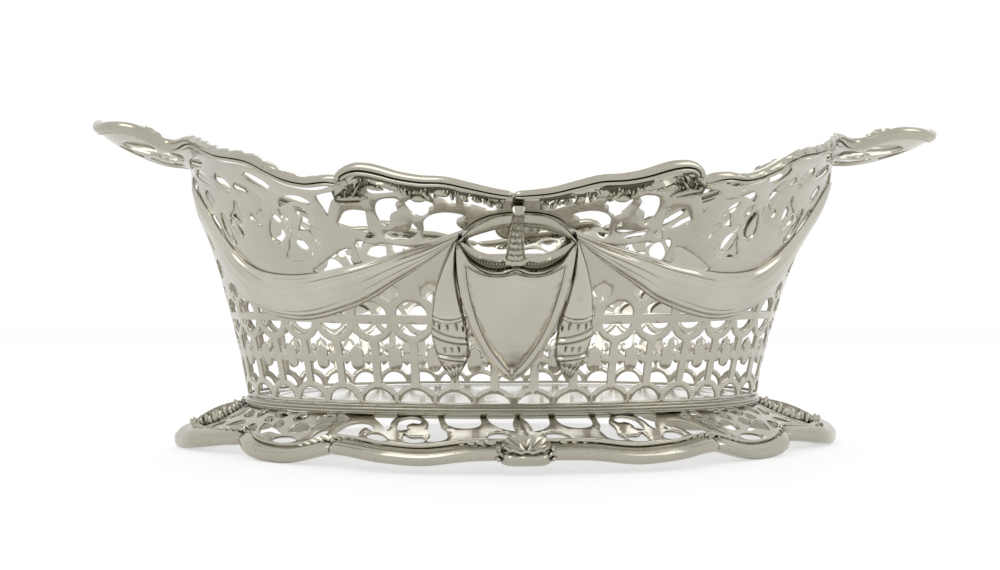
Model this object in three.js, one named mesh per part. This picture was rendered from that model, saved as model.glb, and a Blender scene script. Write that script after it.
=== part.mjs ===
// A boat-shaped pierced silver basket: oval floor, flared fretwork walls with tongue handles, cast rim
// borders, applied shields, swags and husks, and a spreading pierced foot. Millimetres, +Z up, +X to the
// right along the length, -Y to the front. The origin is on the table under the middle of the basket.

import * as THREE from 'three';

// Driving dimensions: the plan of the base ring, the rim and the foot
const BASE_HALF_LENGTH = 83.5;
const BASE_HALF_WIDTH = 58;
const RIM_HALF_LENGTH = 103.3;
const RIM_HALF_WIDTH = 102;
const FOOT_HALF_LENGTH = 106.8;
const FOOT_HALF_WIDTH = 77;
const HANDLE_REACH = 32.6;
const HANDLE_HALF_WIDTH = 21.5;
const END_LEAN = 2.8;
const HANDLE_LEAN = 3.1;
const FOOT_LEAN = 2.4;
const RIM_TILT = 1.6;

// Driving dimensions: heights above the table
const SKIRT_TOP = 14.3;
const WALL_FOOT = 17.2;
const RIM_DIP = 71.8;
const RIM_SCROLL_PEAK = 78.6;
const RIM_SADDLE = 74.6;
const HANDLE_ROOT = 92;
const HANDLE_RISE = 10;
const HANDLE_DISH = 3.6;

// Sheet and joint sizes
const SHEET = 0.9;
const GAP = 0.3;
const SEAM = 0.5;
const BEND_ALLOWANCE = 0.35;
const SWAG_ALLOWANCE = 0.5;
const BORDER_ALLOWANCE = 0.55;
const PITCHES = 40;
const SEAM_PITCH = 3.5;
const END_PITCH = PITCHES / 4;
const STRIP = 0.9;

// Fretwork rows of the lower wall, heights at their centres
const ARCH_CENTRE = 18.3;
const ARCH_INNER = 4.6;
const ARCH_OUTER = 6.5;
const BAR_WIDTH = 2.4;
const CROSS_CENTRE = 30.5;
const CROSS_LOBE = 1.15;
const CROSS_REACH = 3.2;
const RING_CENTRE = 41.7;
const RING_INNER = 4.6;
const RING_OUTER = 6.7;
const BAND_HALF = 1.3;
const ARC_STEPS = 3;

// Castings
const RIM_ROLL = 1.8;
const RIM_ROLL_SIDES = 6;
const BORDER_WIDTH = 4.8;
const BORDER_HEIGHT = 3.9;
const RING_MOULD_IN = 2;
const RING_MOULD_OUT = 2.6;
const RING_MOULD_HEIGHT = 2.3;
const FLOOR_THICKNESS = 1;
const SHIELD_THICKNESS = 1.4;
const MOULDING_THICKNESS = 3;
const LOOP_HALF_WIDTH = 1.1;
const LOOP_THICKNESS = 1.6;
const FINIAL_HALF_WIDTH = 2;
const FINIAL_THICKNESS = 2.6;
const SWAG_THICKNESS = 2.8;
const HUSK_THICKNESS = 3;
const FOOT_LEAF_THICKNESS = 2.2;
const SHELL_HALF_WIDTH = 7.5;
const SHELL_HEIGHT = 8;
const SHELL_THICKNESS = 2;
const SHELL_FOOT = 2.2;

const QUARTER = Math.PI / 2;
const RADIANS = Math.PI / 180;

// A smooth curve y(x) through hand-set points, with slopes from their neighbours
function through(points) {
  const x = points.map((p) => p[0]);
  const y = points.map((p) => p[1]);
  const rise = [];
  for (let i = 0; i + 1 < x.length; i++) rise.push((y[i + 1] - y[i]) / (x[i + 1] - x[i]));
  const slope = x.map((_, i) => {
    if (i === 0) return rise[0];
    if (i === x.length - 1) return rise[i - 1];
    const before = x[i] - x[i - 1];
    const after = x[i + 1] - x[i];
    return (rise[i] * before + rise[i - 1] * after) / (before + after);
  });
  return (value) => {
    const at = Math.min(Math.max(value, x[0]), x[x.length - 1]);
    let i = 0;
    while (i < x.length - 2 && at > x[i + 1]) i++;
    const run = x[i + 1] - x[i];
    const t = (at - x[i]) / run;
    const back = 1 - t;
    return (1 + 2 * t) * back * back * y[i] + t * back * back * run * slope[i]
      + t * t * (3 - 2 * t) * y[i + 1] - t * t * back * run * slope[i + 1];
  };
}

// Angle round the base ellipse, from the front centre, that lies a number of pitches along it
const LENGTH_STEPS = 3600;
const LENGTHS = [0];
const LENGTH_TURN = 2 * Math.PI / LENGTH_STEPS;
for (let i = 0; i < LENGTH_STEPS; i++) {
  const angle = (i + 0.5) * LENGTH_TURN;
  const speed = Math.hypot(BASE_HALF_LENGTH * Math.cos(angle), BASE_HALF_WIDTH * Math.sin(angle));
  LENGTHS.push(LENGTHS[i] + speed * LENGTH_TURN);
}
const ROUND = LENGTHS[LENGTH_STEPS];
function angleAt(pitch) {
  const turns = Math.floor(pitch / PITCHES);
  const target = (pitch / PITCHES - turns) * ROUND;
  let low = 0;
  let high = LENGTH_STEPS;
  while (high - low > 1) {
    const middle = (low + high) >> 1;
    if (LENGTHS[middle] <= target) low = middle;
    else high = middle;
  }
  const part = (target - LENGTHS[low]) / (LENGTHS[high] - LENGTHS[low]);
  return (turns + (low + part) / LENGTH_STEPS) * 2 * Math.PI;
}

// The pitch at which an angle round the base ellipse lies
function pitchAt(angle) {
  const turns = angle / (2 * Math.PI);
  const at = (turns - Math.floor(turns)) * LENGTH_STEPS;
  const low = Math.floor(at);
  const length = LENGTHS[low] + (at - low) * (LENGTHS[Math.min(low + 1, LENGTH_STEPS)] - LENGTHS[low]);
  return (Math.floor(turns) + length / ROUND) * PITCHES;
}

// Degrees from the nearest long-side centre, 0 at the front and back and 90 at the ends
function sideDegrees(angle) {
  return Math.atan2(Math.abs(Math.sin(angle)), Math.abs(Math.cos(angle))) / RADIANS;
}

// Top edge of the wall sheet by side degrees: dip, scroll peak, saddle, then the climb to the handle
const sheetTopAt = through([
  [0, RIM_DIP], [12, RIM_DIP + 2.4], [23, RIM_SCROLL_PEAK], [32, RIM_SADDLE], [38, RIM_SADDLE + 2],
  [46, RIM_SADDLE + 8], [56, HANDLE_ROOT - 4.6], [70, HANDLE_ROOT], [80, HANDLE_ROOT + 0.4],
  [90, HANDLE_ROOT],
]);
function sheetTop(angle) {
  return sheetTopAt(sideDegrees(angle));
}

// Share of the flare reached by share of the height, at the long sides and at the ends
const frontFlare = through([[0, 0], [0.167, 0.045], [0.45, 0.2], [0.667, 0.386], [0.817, 0.568],
  [0.92, 0.78], [1, 1]]);
const endFlare = through([[0, 0], [0.13, 0.09], [0.3, 0.25], [0.52, 0.5], [0.616, 0.64], [0.773, 0.92],
  [0.87, 0.99], [1, 1]]);

// A point on the middle of the wall sheet. Above the sheet's top edge the surface runs out as the handle.
// The real basket leans a little to the right towards its rim, which also stands higher on that side.
function wallMiddle(pitch, height) {
  const angle = angleAt(pitch);
  const top = sheetTop(angle);
  const share = Math.min((height - WALL_FOOT) / (top - WALL_FOOT), 1);
  const end = Math.sin(angle) ** 2;
  const flare = (1 - end) * frontFlare(share) + end * endFlare(share);
  const x = Math.sin(angle) * (BASE_HALF_LENGTH + (RIM_HALF_LENGTH - BASE_HALF_LENGTH) * flare);
  const y = -Math.cos(angle) * (BASE_HALF_WIDTH + (RIM_HALF_WIDTH - BASE_HALF_WIDTH) * flare);
  const past = Math.max(height - top, 0);
  const reach = past / HANDLE_REACH;
  const outward = Math.sign(x) * past + HANDLE_LEAN * reach;
  const dish = (y / HANDLE_HALF_WIDTH) ** 2 - 0.55;
  const rise = HANDLE_RISE * (0.75 * reach + 0.25 * reach * reach) + HANDLE_DISH * dish * 4 * reach * (1 - reach);
  const tilt = RIM_TILT * Math.sin(angle) * Math.max(share, 0) ** 2 * Math.max(1 - reach, 0);
  const z = past > 0 ? top + rise : height;
  return new THREE.Vector3(x + outward + END_LEAN * flare * flare * end, y, z + tilt);
}

// The same point moved out along the sheet's normal
function wallPoint(pitch, height, out) {
  const point = wallMiddle(pitch, height);
  if (out === 0) return point;
  const small = 0.02;
  const along = wallMiddle(pitch + small, height).sub(wallMiddle(pitch - small, height));
  const up = wallMiddle(pitch, height + small).sub(wallMiddle(pitch, height - small));
  return point.addScaledVector(along.cross(up).normalize(), out);
}

// Plan of the foot border's middle line and its lowest height, by side degrees, for one quadrant. The foot
// stands a little to the right of the base ring.
const footLength = through([[0, 0], [20, 0.28], [27, 0.375], [38, 0.51], [50, 0.67], [58, 0.745],
  [66, 0.785], [78, 0.93], [90, 1]]);
const footWidth = through([[0, 1], [20, 0.965], [27, 0.915], [38, 0.75], [50, 0.585], [58, 0.49],
  [66, 0.36], [78, 0.18], [90, 0]]);
const footFloorAt = through([[0, 3.9], [11, 3.7], [20, 2.3], [27, 2.8], [38, 3.6], [47, 0.2], [50, 0], [53, 0.2],
  [66, 3.2], [78, 1.2], [87, 0], [90, 0]]);
function footFloor(side) {
  return Math.max(footFloorAt(side), 0);
}
function footPlan(angle) {
  const side = sideDegrees(angle);
  const x = Math.sign(Math.sin(angle)) * FOOT_HALF_LENGTH * footLength(side);
  const y = -Math.sign(Math.cos(angle)) * FOOT_HALF_WIDTH * footWidth(side);
  return new THREE.Vector3(x + FOOT_LEAN, y, 0);
}
function footSide(angle) {
  const small = 0.01;
  const along = footPlan(angle + small).sub(footPlan(angle - small)).normalize();
  return new THREE.Vector3(along.y, -along.x, 0);
}

// A point on the foot skirt: share 0 under the base ring, share 1 lying on the foot border
const SKIRT_EDGE = BORDER_WIDTH * 0.1;
function skirtMiddle(pitch, share) {
  const angle = angleAt(pitch);
  const side = sideDegrees(angle);
  const topX = Math.sin(angle) * (BASE_HALF_LENGTH - 0.5);
  const topY = -Math.cos(angle) * (BASE_HALF_WIDTH - 0.5);
  const edge = footPlan(angle).addScaledVector(footSide(angle), -SKIRT_EDGE);
  const edgeZ = footFloor(side) + BORDER_HEIGHT + GAP + BORDER_ALLOWANCE + SHEET / 2;
  const fall = 1 - Math.max(1 - share, 0) ** 1.35;
  return new THREE.Vector3(
    topX + (edge.x - topX) * share,
    topY + (edge.y - topY) * share,
    SKIRT_TOP - SHEET / 2 + (edgeZ - SKIRT_TOP + SHEET / 2) * fall,
  );
}
function skirtPoint(pitch, share, out) {
  const point = skirtMiddle(pitch, share);
  if (out === 0) return point;
  const small = 0.01;
  const along = skirtMiddle(pitch + small, share).sub(skirtMiddle(pitch - small, share));
  const down = skirtMiddle(pitch, share + small).sub(skirtMiddle(pitch, share - small));
  return point.addScaledVector(down.cross(along).normalize(), out);
}

// Swaps the diagonal of neighbouring triangles for the shorter one, so that few triangles are long
const SWAP_ROUNDS = 40;
function shortened(points, flat, place) {
  const laid = points.map(([u, v]) => place(u, v, 0));
  const turn = (a, b, c) => {
    const [p, q, r] = [points[a], points[b], points[c]];
    return (q[0] - p[0]) * (r[1] - p[1]) - (q[1] - p[1]) * (r[0] - p[0]);
  };
  const flatness = 1e-6;
  const triangles = flat.map((triangle) => [...triangle]);
  for (let round = 0; round < SWAP_ROUNDS; round++) {
    const owners = new Map();
    triangles.forEach((triangle, at) => {
      for (let k = 0; k < 3; k++) owners.set(triangle[k] + '_' + triangle[(k + 1) % 3], [at, triangle[(k + 2) % 3]]);
    });
    const touched = new Set();
    for (const [key, [first, c]] of owners) {
      const [a, b] = key.split('_').map(Number);
      const across = owners.get(b + '_' + a);
      if (a > b || across === undefined) continue;
      const [second, d] = across;
      if (touched.has(first) || touched.has(second)) continue;
      if (laid[c].distanceTo(laid[d]) > 0.98 * laid[a].distanceTo(laid[b])) continue;
      if (turn(c, a, d) < flatness || turn(d, b, c) < flatness) continue;
      triangles[first] = [c, a, d];
      triangles[second] = [d, b, c];
      touched.add(first);
      touched.add(second);
    }
    if (touched.size === 0) break;
  }
  return triangles;
}

// Halves every edge whose middle lies off the curved surface by more than the tolerance, until none does
const BEND_TOLERANCE = 0.7;
const REFINE_ROUNDS = 5;
function refined(points, flat, place) {
  let triangles = flat;
  for (let round = 0; round < REFINE_ROUNDS; round++) {
    const laid = points.map(([u, v]) => place(u, v, 0));
    const halves = new Map();
    const half = (a, b) => {
      const key = Math.min(a, b) + '_' + Math.max(a, b);
      if (!halves.has(key)) {
        const u = (points[a][0] + points[b][0]) / 2;
        const v = (points[a][1] + points[b][1]) / 2;
        const middle = place(u, v, 0);
        const normal = place(u, v, 1).sub(middle);
        const off = Math.abs(laid[a].clone().add(laid[b]).multiplyScalar(0.5).sub(middle).dot(normal));
        halves.set(key, off > BEND_TOLERANCE ? points.push([u, v]) - 1 : -1);
      }
      return halves.get(key);
    };
    const next = [];
    for (const [a, b, c] of triangles) {
      const cut = [half(a, b), half(b, c), half(c, a)];
      const count = cut.filter((i) => i >= 0).length;
      if (count === 0) next.push([a, b, c]);
      if (count === 3) next.push([a, cut[0], cut[2]], [cut[0], b, cut[1]], [cut[2], cut[1], c], cut);
      if (count === 1) {
        const turn = cut.findIndex((i) => i >= 0);
        const [p, q, r] = [[a, b, c], [b, c, a], [c, a, b]][turn];
        next.push([p, cut[turn], r], [cut[turn], q, r]);
      }
      if (count === 2) {
        const turn = cut.findIndex((i) => i < 0);
        const [p, q, r] = [[a, b, c], [b, c, a], [c, a, b]][turn];
        const qr = cut[(turn + 1) % 3];
        const rp = cut[(turn + 2) % 3];
        next.push([r, rp, qr], [p, q, qr], [p, qr, rp]);
      }
    }
    if (next.length === triangles.length) break;
    triangles = next;
  }
  return triangles;
}

// A sheet with holes, drawn flat, refined where it bends, then laid on a surface and given its thickness.
// Regions that share an edge, with the same points on it, become one sheet.
function piercedSheet(regions, thickness, place) {
  const points = [];
  const known = new Map();
  const indexOf = (point) => {
    const key = point.x.toFixed(6) + '_' + point.y.toFixed(6);
    if (!known.has(key)) known.set(key, points.push([point.x, point.y]) - 1);
    return known.get(key);
  };
  const turned = (path, clockwise) => {
    const made = path.map((p) => new THREE.Vector2(...p));
    return THREE.ShapeUtils.isClockWise(made) === clockwise ? made : made.reverse();
  };
  const flat = [];
  for (const { outline, holes } of regions) {
    const contour = turned(outline, false);
    const paths = holes.map((hole) => turned(hole, true));
    const order = [contour, ...paths].flat().map(indexOf);
    for (const triangle of THREE.ShapeUtils.triangulateShape(contour, paths)) {
      flat.push(triangle.map((i) => order[i]));
    }
  }
  const triangles = refined(points, shortened(points, flat, place), place);
  const count = points.length;
  const position = [];
  for (const out of [thickness / 2, -thickness / 2]) {
    for (const [u, v] of points) position.push(...place(u, v, out).toArray());
  }
  const edges = new Map();
  const index = [];
  for (const [a, b, c] of triangles) {
    index.push(a, b, c, a + count, c + count, b + count);
    for (const [p, q] of [[a, b], [b, c], [c, a]]) {
      if (!edges.delete(q + '_' + p)) edges.set(p + '_' + q, [p, q]);
    }
  }
  for (const [p, q] of edges.values()) index.push(p, p + count, q + count, p, q + count, q);
  const geometry = new THREE.BufferGeometry();
  geometry.setAttribute('position', new THREE.Float32BufferAttribute(position, 3));
  geometry.setIndex(index);
  return geometry;
}

// A bar with a section outline, extruded straight in equal steps and then laid along a path.
// place(across, up, along) gives the point, along running from 0 to 1.
function laidBar(section, steps, place) {
  const shape = new THREE.Shape(section.map((p) => new THREE.Vector2(...p)));
  const geometry = new THREE.ExtrudeGeometry(shape, { depth: 1, steps, bevelEnabled: false, curveSegments: 1 });
  const position = geometry.attributes.position;
  for (let i = 0; i < position.count; i++) {
    const point = place(position.getX(i), position.getY(i), position.getZ(i));
    position.setXYZ(i, point.x, point.y, point.z);
  }
  geometry.deleteAttribute('normal');
  geometry.deleteAttribute('uv');
  return geometry;
}

// Points of an arc about (pitch, height), whose radius across is a length divided by the pitch length
function arc(pitch, height, across, up, from, to, steps) {
  const points = [];
  for (let i = 0; i <= steps; i++) {
    const angle = (from + (to - from) * i / steps) * RADIANS;
    points.push([pitch + across * Math.cos(angle), height + up * Math.sin(angle)]);
  }
  return points;
}

// Openings of one pitch of the lower fretwork, in pitches and millimetres
const PITCH_LENGTH = ROUND / PITCHES;
const RING_SPREAD = 1.07 * PITCH_LENGTH;
function arcTo(radius, half) {
  return Math.acos(Math.min(half / radius, 1)) / RADIANS;
}
function lowerOpenings(pitch) {
  const middle = pitch + 0.5;
  const openings = [];
  const archAcross = ARCH_INNER / PITCH_LENGTH;
  openings.push(arc(middle, ARCH_CENTRE, archAcross, ARCH_INNER, 0, 180, ARC_STEPS));
  for (const half of [-1, 1]) {
    const dip = Math.asin(BAND_HALF / RING_INNER) / RADIANS;
    const from = half > 0 ? dip : 180 + dip;
    const to = half > 0 ? 180 - dip : 360 - dip;
    openings.push(arc(middle, RING_CENTRE, RING_INNER / RING_SPREAD, RING_INNER, from, to, ARC_STEPS));
  }
  return openings;
}

// The two windows between neighbouring bars, divided by the cross, centred on a valley of the arches
function valleyOpenings(pitch) {
  const bar = 0.5 - BAR_WIDTH / 2 / PITCH_LENGTH;
  const crown = arcTo(ARCH_OUTER, PITCH_LENGTH / 2);
  const barTurn = arcTo(ARCH_OUTER, BAR_WIDTH / 2);
  const notch = ARCH_CENTRE + ARCH_OUTER * Math.sin(crown * RADIANS);
  const shoulder = ARCH_CENTRE + ARCH_OUTER * Math.sin(barTurn * RADIANS);
  const arm = CROSS_LOBE;
  const waist = 1.5 * CROSS_LOBE / PITCH_LENGTH;
  const lower = [[pitch - bar, shoulder], [pitch, notch], [pitch + bar, shoulder],
    [pitch + bar, CROSS_CENTRE - arm], [pitch + waist, CROSS_CENTRE - CROSS_REACH],
    [pitch - waist, CROSS_CENTRE - CROSS_REACH], [pitch - bar, CROSS_CENTRE - arm]];
  const turn = arcTo(RING_OUTER, RING_SPREAD / 2);
  const barRing = arcTo(RING_OUTER, BAR_WIDTH / 2);
  const ringLow = RING_CENTRE - RING_OUTER * Math.sin(barRing * RADIANS);
  const ringMeet = RING_CENTRE - RING_OUTER * Math.sin(turn * RADIANS);
  const upper = [[pitch - bar, CROSS_CENTRE + arm], [pitch - waist, CROSS_CENTRE + CROSS_REACH],
    [pitch + waist, CROSS_CENTRE + CROSS_REACH], [pitch + bar, CROSS_CENTRE + arm],
    [pitch + bar, ringLow], [pitch, ringMeet], [pitch - bar, ringLow]];
  return [lower, upper];
}

// Openings of the upper wall for one quadrant, in pitches from the long-side centre and millimetres.
// They leave the scrolls, bulbs and leaves standing.
const SCROLL_OPENINGS = [
  [[1.1, 71.6], [0.53, 70.2], [0.78, 69.6]],
  [[1.7, 73.0], [1.29, 72.8], [1.27, 70.8]],
  [[1.17, 68.5], [1.6, 69.1], [1.96, 67], [2, 63.4], [1.3, 65.2]],
  [[1.72, 71.1], [2.1, 72.3], [2.24, 70.4], [1.97, 68]],
  [[2.36, 72.8], [2.65, 72.3], [2.86, 70], [2.68, 66.6], [2.44, 69.4]],
  [[2.2, 66.5], [2.2, 64.4], [2.6, 63], [2.86, 64.8], [2.35, 64.8]],
  [[3.12, 70.3], [3.36, 70.2], [3.62, 66], [3.15, 65.8]],
  [[3.4, 74.2], [3.85, 73.8], [3.8, 69.8], [3.6, 72.5]],
  [[3.4, 62.3], [2.45, 60.9], [3.3, 58.2]],
  [[3.7, 59.9], [4.6, 56], [3.7, 56.4]],
  [[4.12, 72.7], [4.35, 74.1], [4.8, 73.4], [4.82, 69.2], [4.7, 72]],
  [[4.36, 71.4], [4.22, 69.4], [4.47, 66.5]],
  [[4.32, 65.8], [4.13, 64.4], [4.42, 59.4]],
  [[4.7, 66], [4.9, 64.6], [5.18, 59.3], [4.7, 59.4]],
  [[5.1, 71], [4.97, 68], [5.3, 63], [5.44, 64.8]],
  [[5.3, 71.8], [5.8, 71.3], [5.5, 68.3]],
  [[6.05, 74], [6.38, 71.2], [6.2, 68.4]],
  [[6.66, 71.6], [6.86, 66], [6.75, 64]],
  [[4.8, 77], [5.15, 80.6], [5.35, 80.3]],
  [[6.3, 77.6], [6.16, 80.4], [6.8, 81]],
  [[7.1, 62], [6.95, 70], [7.4, 80], [7.35, 70]],
  [[7.7, 57], [7.5, 64], [7.8, 70], [8.1, 62]],
  [[7.75, 74], [7.7, 80], [8.1, 84.5], [8.3, 80]],
  [[8.5, 62], [8.3, 68], [8.55, 74], [9.1, 66]],
  [[8.7, 78], [8.6, 83], [9, 86.5], [9.3, 82]],
  [[9.5, 58], [9.35, 66], [9.6, 73], [9.85, 62]],
  [[9.55, 77], [9.5, 83], [9.7, 87], [9.85, 80]],
  [[8.3, 49.6], [8.1, 54], [8.5, 57.6], [8.7, 49.6]],
  [[9.3, 49.6], [9.15, 54], [9.5, 56], [9.7, 49.6]],
  [[2.7, 49.6], [2.6, 53.4], [2.9, 56], [3.2, 49.8]],
];

// Half of the eye behind each shield loop. The bar between the halves is hidden behind the finial.
const EYE_OPENING = [[0.08, 67.1], [0.5, 66.7], [0.98, 64], [0.8, 62.4], [0.08, 61.7]];

// Slots of the handle, in pitches from its middle and shares of its reach
const HANDLE_SLOTS = [
  [[0.5, 0.14], [0.62, 0.18], [0.5, 0.35], [0.4, 0.31]],
  [[0.42, 0.46], [0.6, 0.5], [0.5, 0.73], [0.34, 0.77]],
  [[-0.06, 0.19], [0.06, 0.19], [0.1, 0.46], [-0.1, 0.46]],
];

// Part of a polygon on one side of an upright line
function clipped(polygon, limit, keep) {
  const result = [];
  polygon.forEach((point, i) => {
    const next = polygon[(i + 1) % polygon.length];
    const inside = (point[0] - limit) * keep >= 0;
    const nextInside = (next[0] - limit) * keep >= 0;
    if (inside) result.push(point);
    if (inside !== nextInside) {
      const t = (limit - point[0]) / (next[0] - point[0]);
      result.push([limit, point[1] + t * (next[1] - point[1])]);
    }
  });
  return result;
}

// Every opening between two pitches, moved clear of the seams at each side
function openingsBetween(start, end) {
  const all = [];
  for (let pitch = Math.floor(start); pitch < end; pitch++) {
    all.push(...lowerOpenings(pitch), ...valleyOpenings(pitch));
  }
  all.push(...valleyOpenings(Math.ceil(end)));
  for (const centre of [-2 * END_PITCH, 0, 2 * END_PITCH]) {
    for (const hand of [-1, 1]) {
      for (const opening of [EYE_OPENING, ...SCROLL_OPENINGS]) {
        all.push(opening.map(([u, v]) => [centre + hand * u, v]));
      }
    }
  }
  const strip = STRIP / PITCH_LENGTH;
  const kept = [];
  for (const opening of all) {
    const piece = clipped(clipped(opening, start + strip, 1), end - strip, -1);
    if (piece.length > 2 && Math.max(...piece.map((p) => p[0])) - Math.min(...piece.map((p) => p[0])) > 0.05) {
      kept.push(piece);
    }
  }
  return kept;
}

// The handle's slots: two on each side and one in the middle
function handleSlots(centre) {
  const [inner, outer, middle] = HANDLE_SLOTS;
  const laid = (slot, hand) => slot.map(([u, v]) => [centre + hand * u, HANDLE_ROOT + v * HANDLE_REACH]);
  return [laid(middle, 1), laid(inner, 1), laid(outer, 1), laid(inner, -1), laid(outer, -1)];
}

// Heights of the handle's outline past the rim, by pitch from its middle, and back
function handleOutline(centre) {
  const acrossOf = (width) => {
    const angle = Math.asin(Math.min(width / RIM_HALF_WIDTH, 1));
    const lengthShare = LENGTHS[Math.round((QUARTER - angle) / (2 * Math.PI) * LENGTH_STEPS)];
    return END_PITCH - lengthShare / PITCH_LENGTH;
  };
  const side = [[0.84, 0.05], [0.84, 0.18], [0.95, 0.4], [1, 0.58], [0.9, 0.78], [0.62, 0.93], [0.3, 1]];
  const right = side.map(([width, reach]) => [acrossOf(width * HANDLE_HALF_WIDTH), reach * HANDLE_REACH]);
  const outline = [];
  for (const [across, past] of right) outline.push([centre - across, past]);
  for (const [across, past] of [...right].reverse()) outline.push([centre + across, past]);
  return outline;
}

// Points of the sheet's top edge between two pitches
const TOP_STEP = 0.7;
function topEdge(start, end) {
  const edge = [];
  const steps = Math.max(Math.round((end - start) / TOP_STEP), 1);
  for (let i = 0; i <= steps; i++) {
    const pitch = start + (end - start) * i / steps;
    edge.push([pitch, sheetTop(angleAt(pitch))]);
  }
  return edge;
}

// A wall sheet between two seams, with its handle where a middle is given
function wallSheet(start, end, handleCentre) {
  const half = SEAM / 2 / PITCH_LENGTH;
  const from = start + half;
  const to = end - half;
  const openings = openingsBetween(from, to);
  const foot = [[from, WALL_FOOT], [to, WALL_FOOT]];
  if (handleCentre === undefined) {
    const outline = [...foot, ...topEdge(from, to).reverse()];
    return piercedSheet([{ outline, holes: openings }], SHEET, wallPoint);
  }
  const tongue = handleOutline(handleCentre);
  const neck = handleCentre - tongue[0][0];
  const bend = topEdge(handleCentre - neck, handleCentre + neck);
  const right = topEdge(handleCentre + neck, to).slice(1);
  const left = topEdge(from, handleCentre - neck).slice(0, -1);
  const outline = [...foot, ...[...left, ...bend, ...right].reverse()];
  const rise = tongue.map(([pitch, past]) => [pitch, sheetTop(angleAt(pitch)) + past]);
  const handle = [...bend, ...rise.reverse()];
  return piercedSheet([{ outline, holes: openings }, { outline: handle, holes: handleSlots(handleCentre) }],
    SHEET, wallPoint);
}

// Openings of one quadrant of the skirt, in pitches from the long-side centre and share of its width
const SKIRT_OPENINGS = [
  [[0.4, 0.25], [0.35, 0.7], [1.05, 0.6], [1, 0.25]],
  [[1.4, 0.25], [1.3, 0.8], [2.2, 0.7], [2.1, 0.25]],
  [[2.6, 0.25], [2.4, 0.82], [3.4, 0.75], [3.2, 0.25]],
  [[3.7, 0.25], [3.7, 0.85], [4.6, 0.8], [4.4, 0.25]],
  [[5, 0.25], [5, 0.85], [5.9, 0.85], [5.8, 0.25]],
  [[6.35, 0.25], [6.3, 0.8], [7.05, 0.78], [7, 0.25]],
  [[7.6, 0.25], [7.6, 0.8], [8.5, 0.8], [8.4, 0.25]],
];

// Sections of the foot border in one quadrant, from angle to angle in a number of steps. They meet at the
// notches, a gap apart. The skirt's edge bends at the same angles.
const FRONT_NOTCH = 38 * RADIANS;
const END_NOTCH = 66 * RADIANS;
const BORDER_GAP = 0.25 * RADIANS;
const FRONT_SECTION = [0, FRONT_NOTCH - BORDER_GAP, 11];
const CORNER_SECTION = [FRONT_NOTCH + BORDER_GAP, END_NOTCH - BORDER_GAP, 10];
const END_SECTION = [END_NOTCH + BORDER_GAP, QUARTER, 8];

// One quadrant of the skirt, between the seam under a shell and the seam under an end leaf. Its edge is
// drawn very slightly bowed, because a flat drawing keeps no points on a straight edge.
const EDGE_BOW = 0.012;
function skirtQuadrant(centre, hand) {
  const near = SEAM / 2 / PITCH_LENGTH;
  const far = END_PITCH - SEAM / PITCH_LENGTH;
  const edge = [near];
  for (const [from, to, steps] of [FRONT_SECTION, CORNER_SECTION, END_SECTION]) {
    for (let i = 0; i <= steps; i++) edge.push(pitchAt(from + (to - from) * i / steps));
  }
  const inside = edge.filter((pitch) => pitch >= near && pitch < far - near);
  const bow = (pitch) => 1 + EDGE_BOW * Math.sin(Math.PI * pitch / END_PITCH);
  const outline = [[near, 0], [far, 0], [far, 1], ...inside.reverse().map((pitch) => [pitch, bow(pitch)])];
  const placed = (points) => points.map(([u, v]) => [centre + hand * u, v]);
  return piercedSheet([{ outline: placed(outline), holes: SKIRT_OPENINGS.map(placed) }], SHEET, skirtPoint);
}

// A ring round the base ellipse: profile given as [distance out from the ellipse, height]
const RING_STEPS = 44;
function ellipseRing(profile) {
  const points = profile.map(([out, z]) => new THREE.Vector2(BASE_HALF_LENGTH + out, z));
  points.push(points[0].clone());
  const geometry = new THREE.LatheGeometry(points, RING_STEPS);
  const position = geometry.attributes.position;
  for (let i = 0; i < position.count; i++) {
    const angle = Math.atan2(position.getX(i), position.getZ(i));
    const out = Math.hypot(position.getX(i), position.getZ(i)) - BASE_HALF_LENGTH;
    position.setXYZ(i, ...ellipsePoint(angle, out, position.getY(i)));
  }
  geometry.deleteAttribute('normal');
  geometry.deleteAttribute('uv');
  return geometry;
}
function ellipsePoint(angle, out, z) {
  const normal = new THREE.Vector2(Math.sin(angle) / BASE_HALF_LENGTH, -Math.cos(angle) / BASE_HALF_WIDTH);
  normal.normalize();
  return [BASE_HALF_LENGTH * Math.sin(angle) + normal.x * out,
    -BASE_HALF_WIDTH * Math.cos(angle) + normal.y * out, z];
}

// The floor plate lies inside the base ring
function floorPlate() {
  const top = SKIRT_TOP + GAP + RING_MOULD_HEIGHT;
  const inset = RING_MOULD_IN + GAP;
  const geometry = new THREE.CylinderGeometry(1, 1, FLOOR_THICKNESS, RING_STEPS, 1);
  const position = geometry.attributes.position;
  for (let i = 0; i < position.count; i++) {
    const radius = Math.hypot(position.getX(i), position.getZ(i));
    const angle = Math.atan2(position.getX(i), position.getZ(i));
    const edge = ellipsePoint(angle, -inset, 0);
    const z = top - FLOOR_THICKNESS / 2 + position.getY(i);
    position.setXYZ(i, radius * edge[0], radius * edge[1], z);
  }
  geometry.deleteAttribute('normal');
  geometry.deleteAttribute('uv');
  return geometry;
}

// Round section with a given radius and number of sides
function roundSection(radius, sides) {
  const points = [];
  for (let i = 0; i < sides; i++) {
    const angle = i * 2 * Math.PI / sides;
    points.push([radius * Math.cos(angle), radius * Math.sin(angle)]);
  }
  return points;
}

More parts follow.
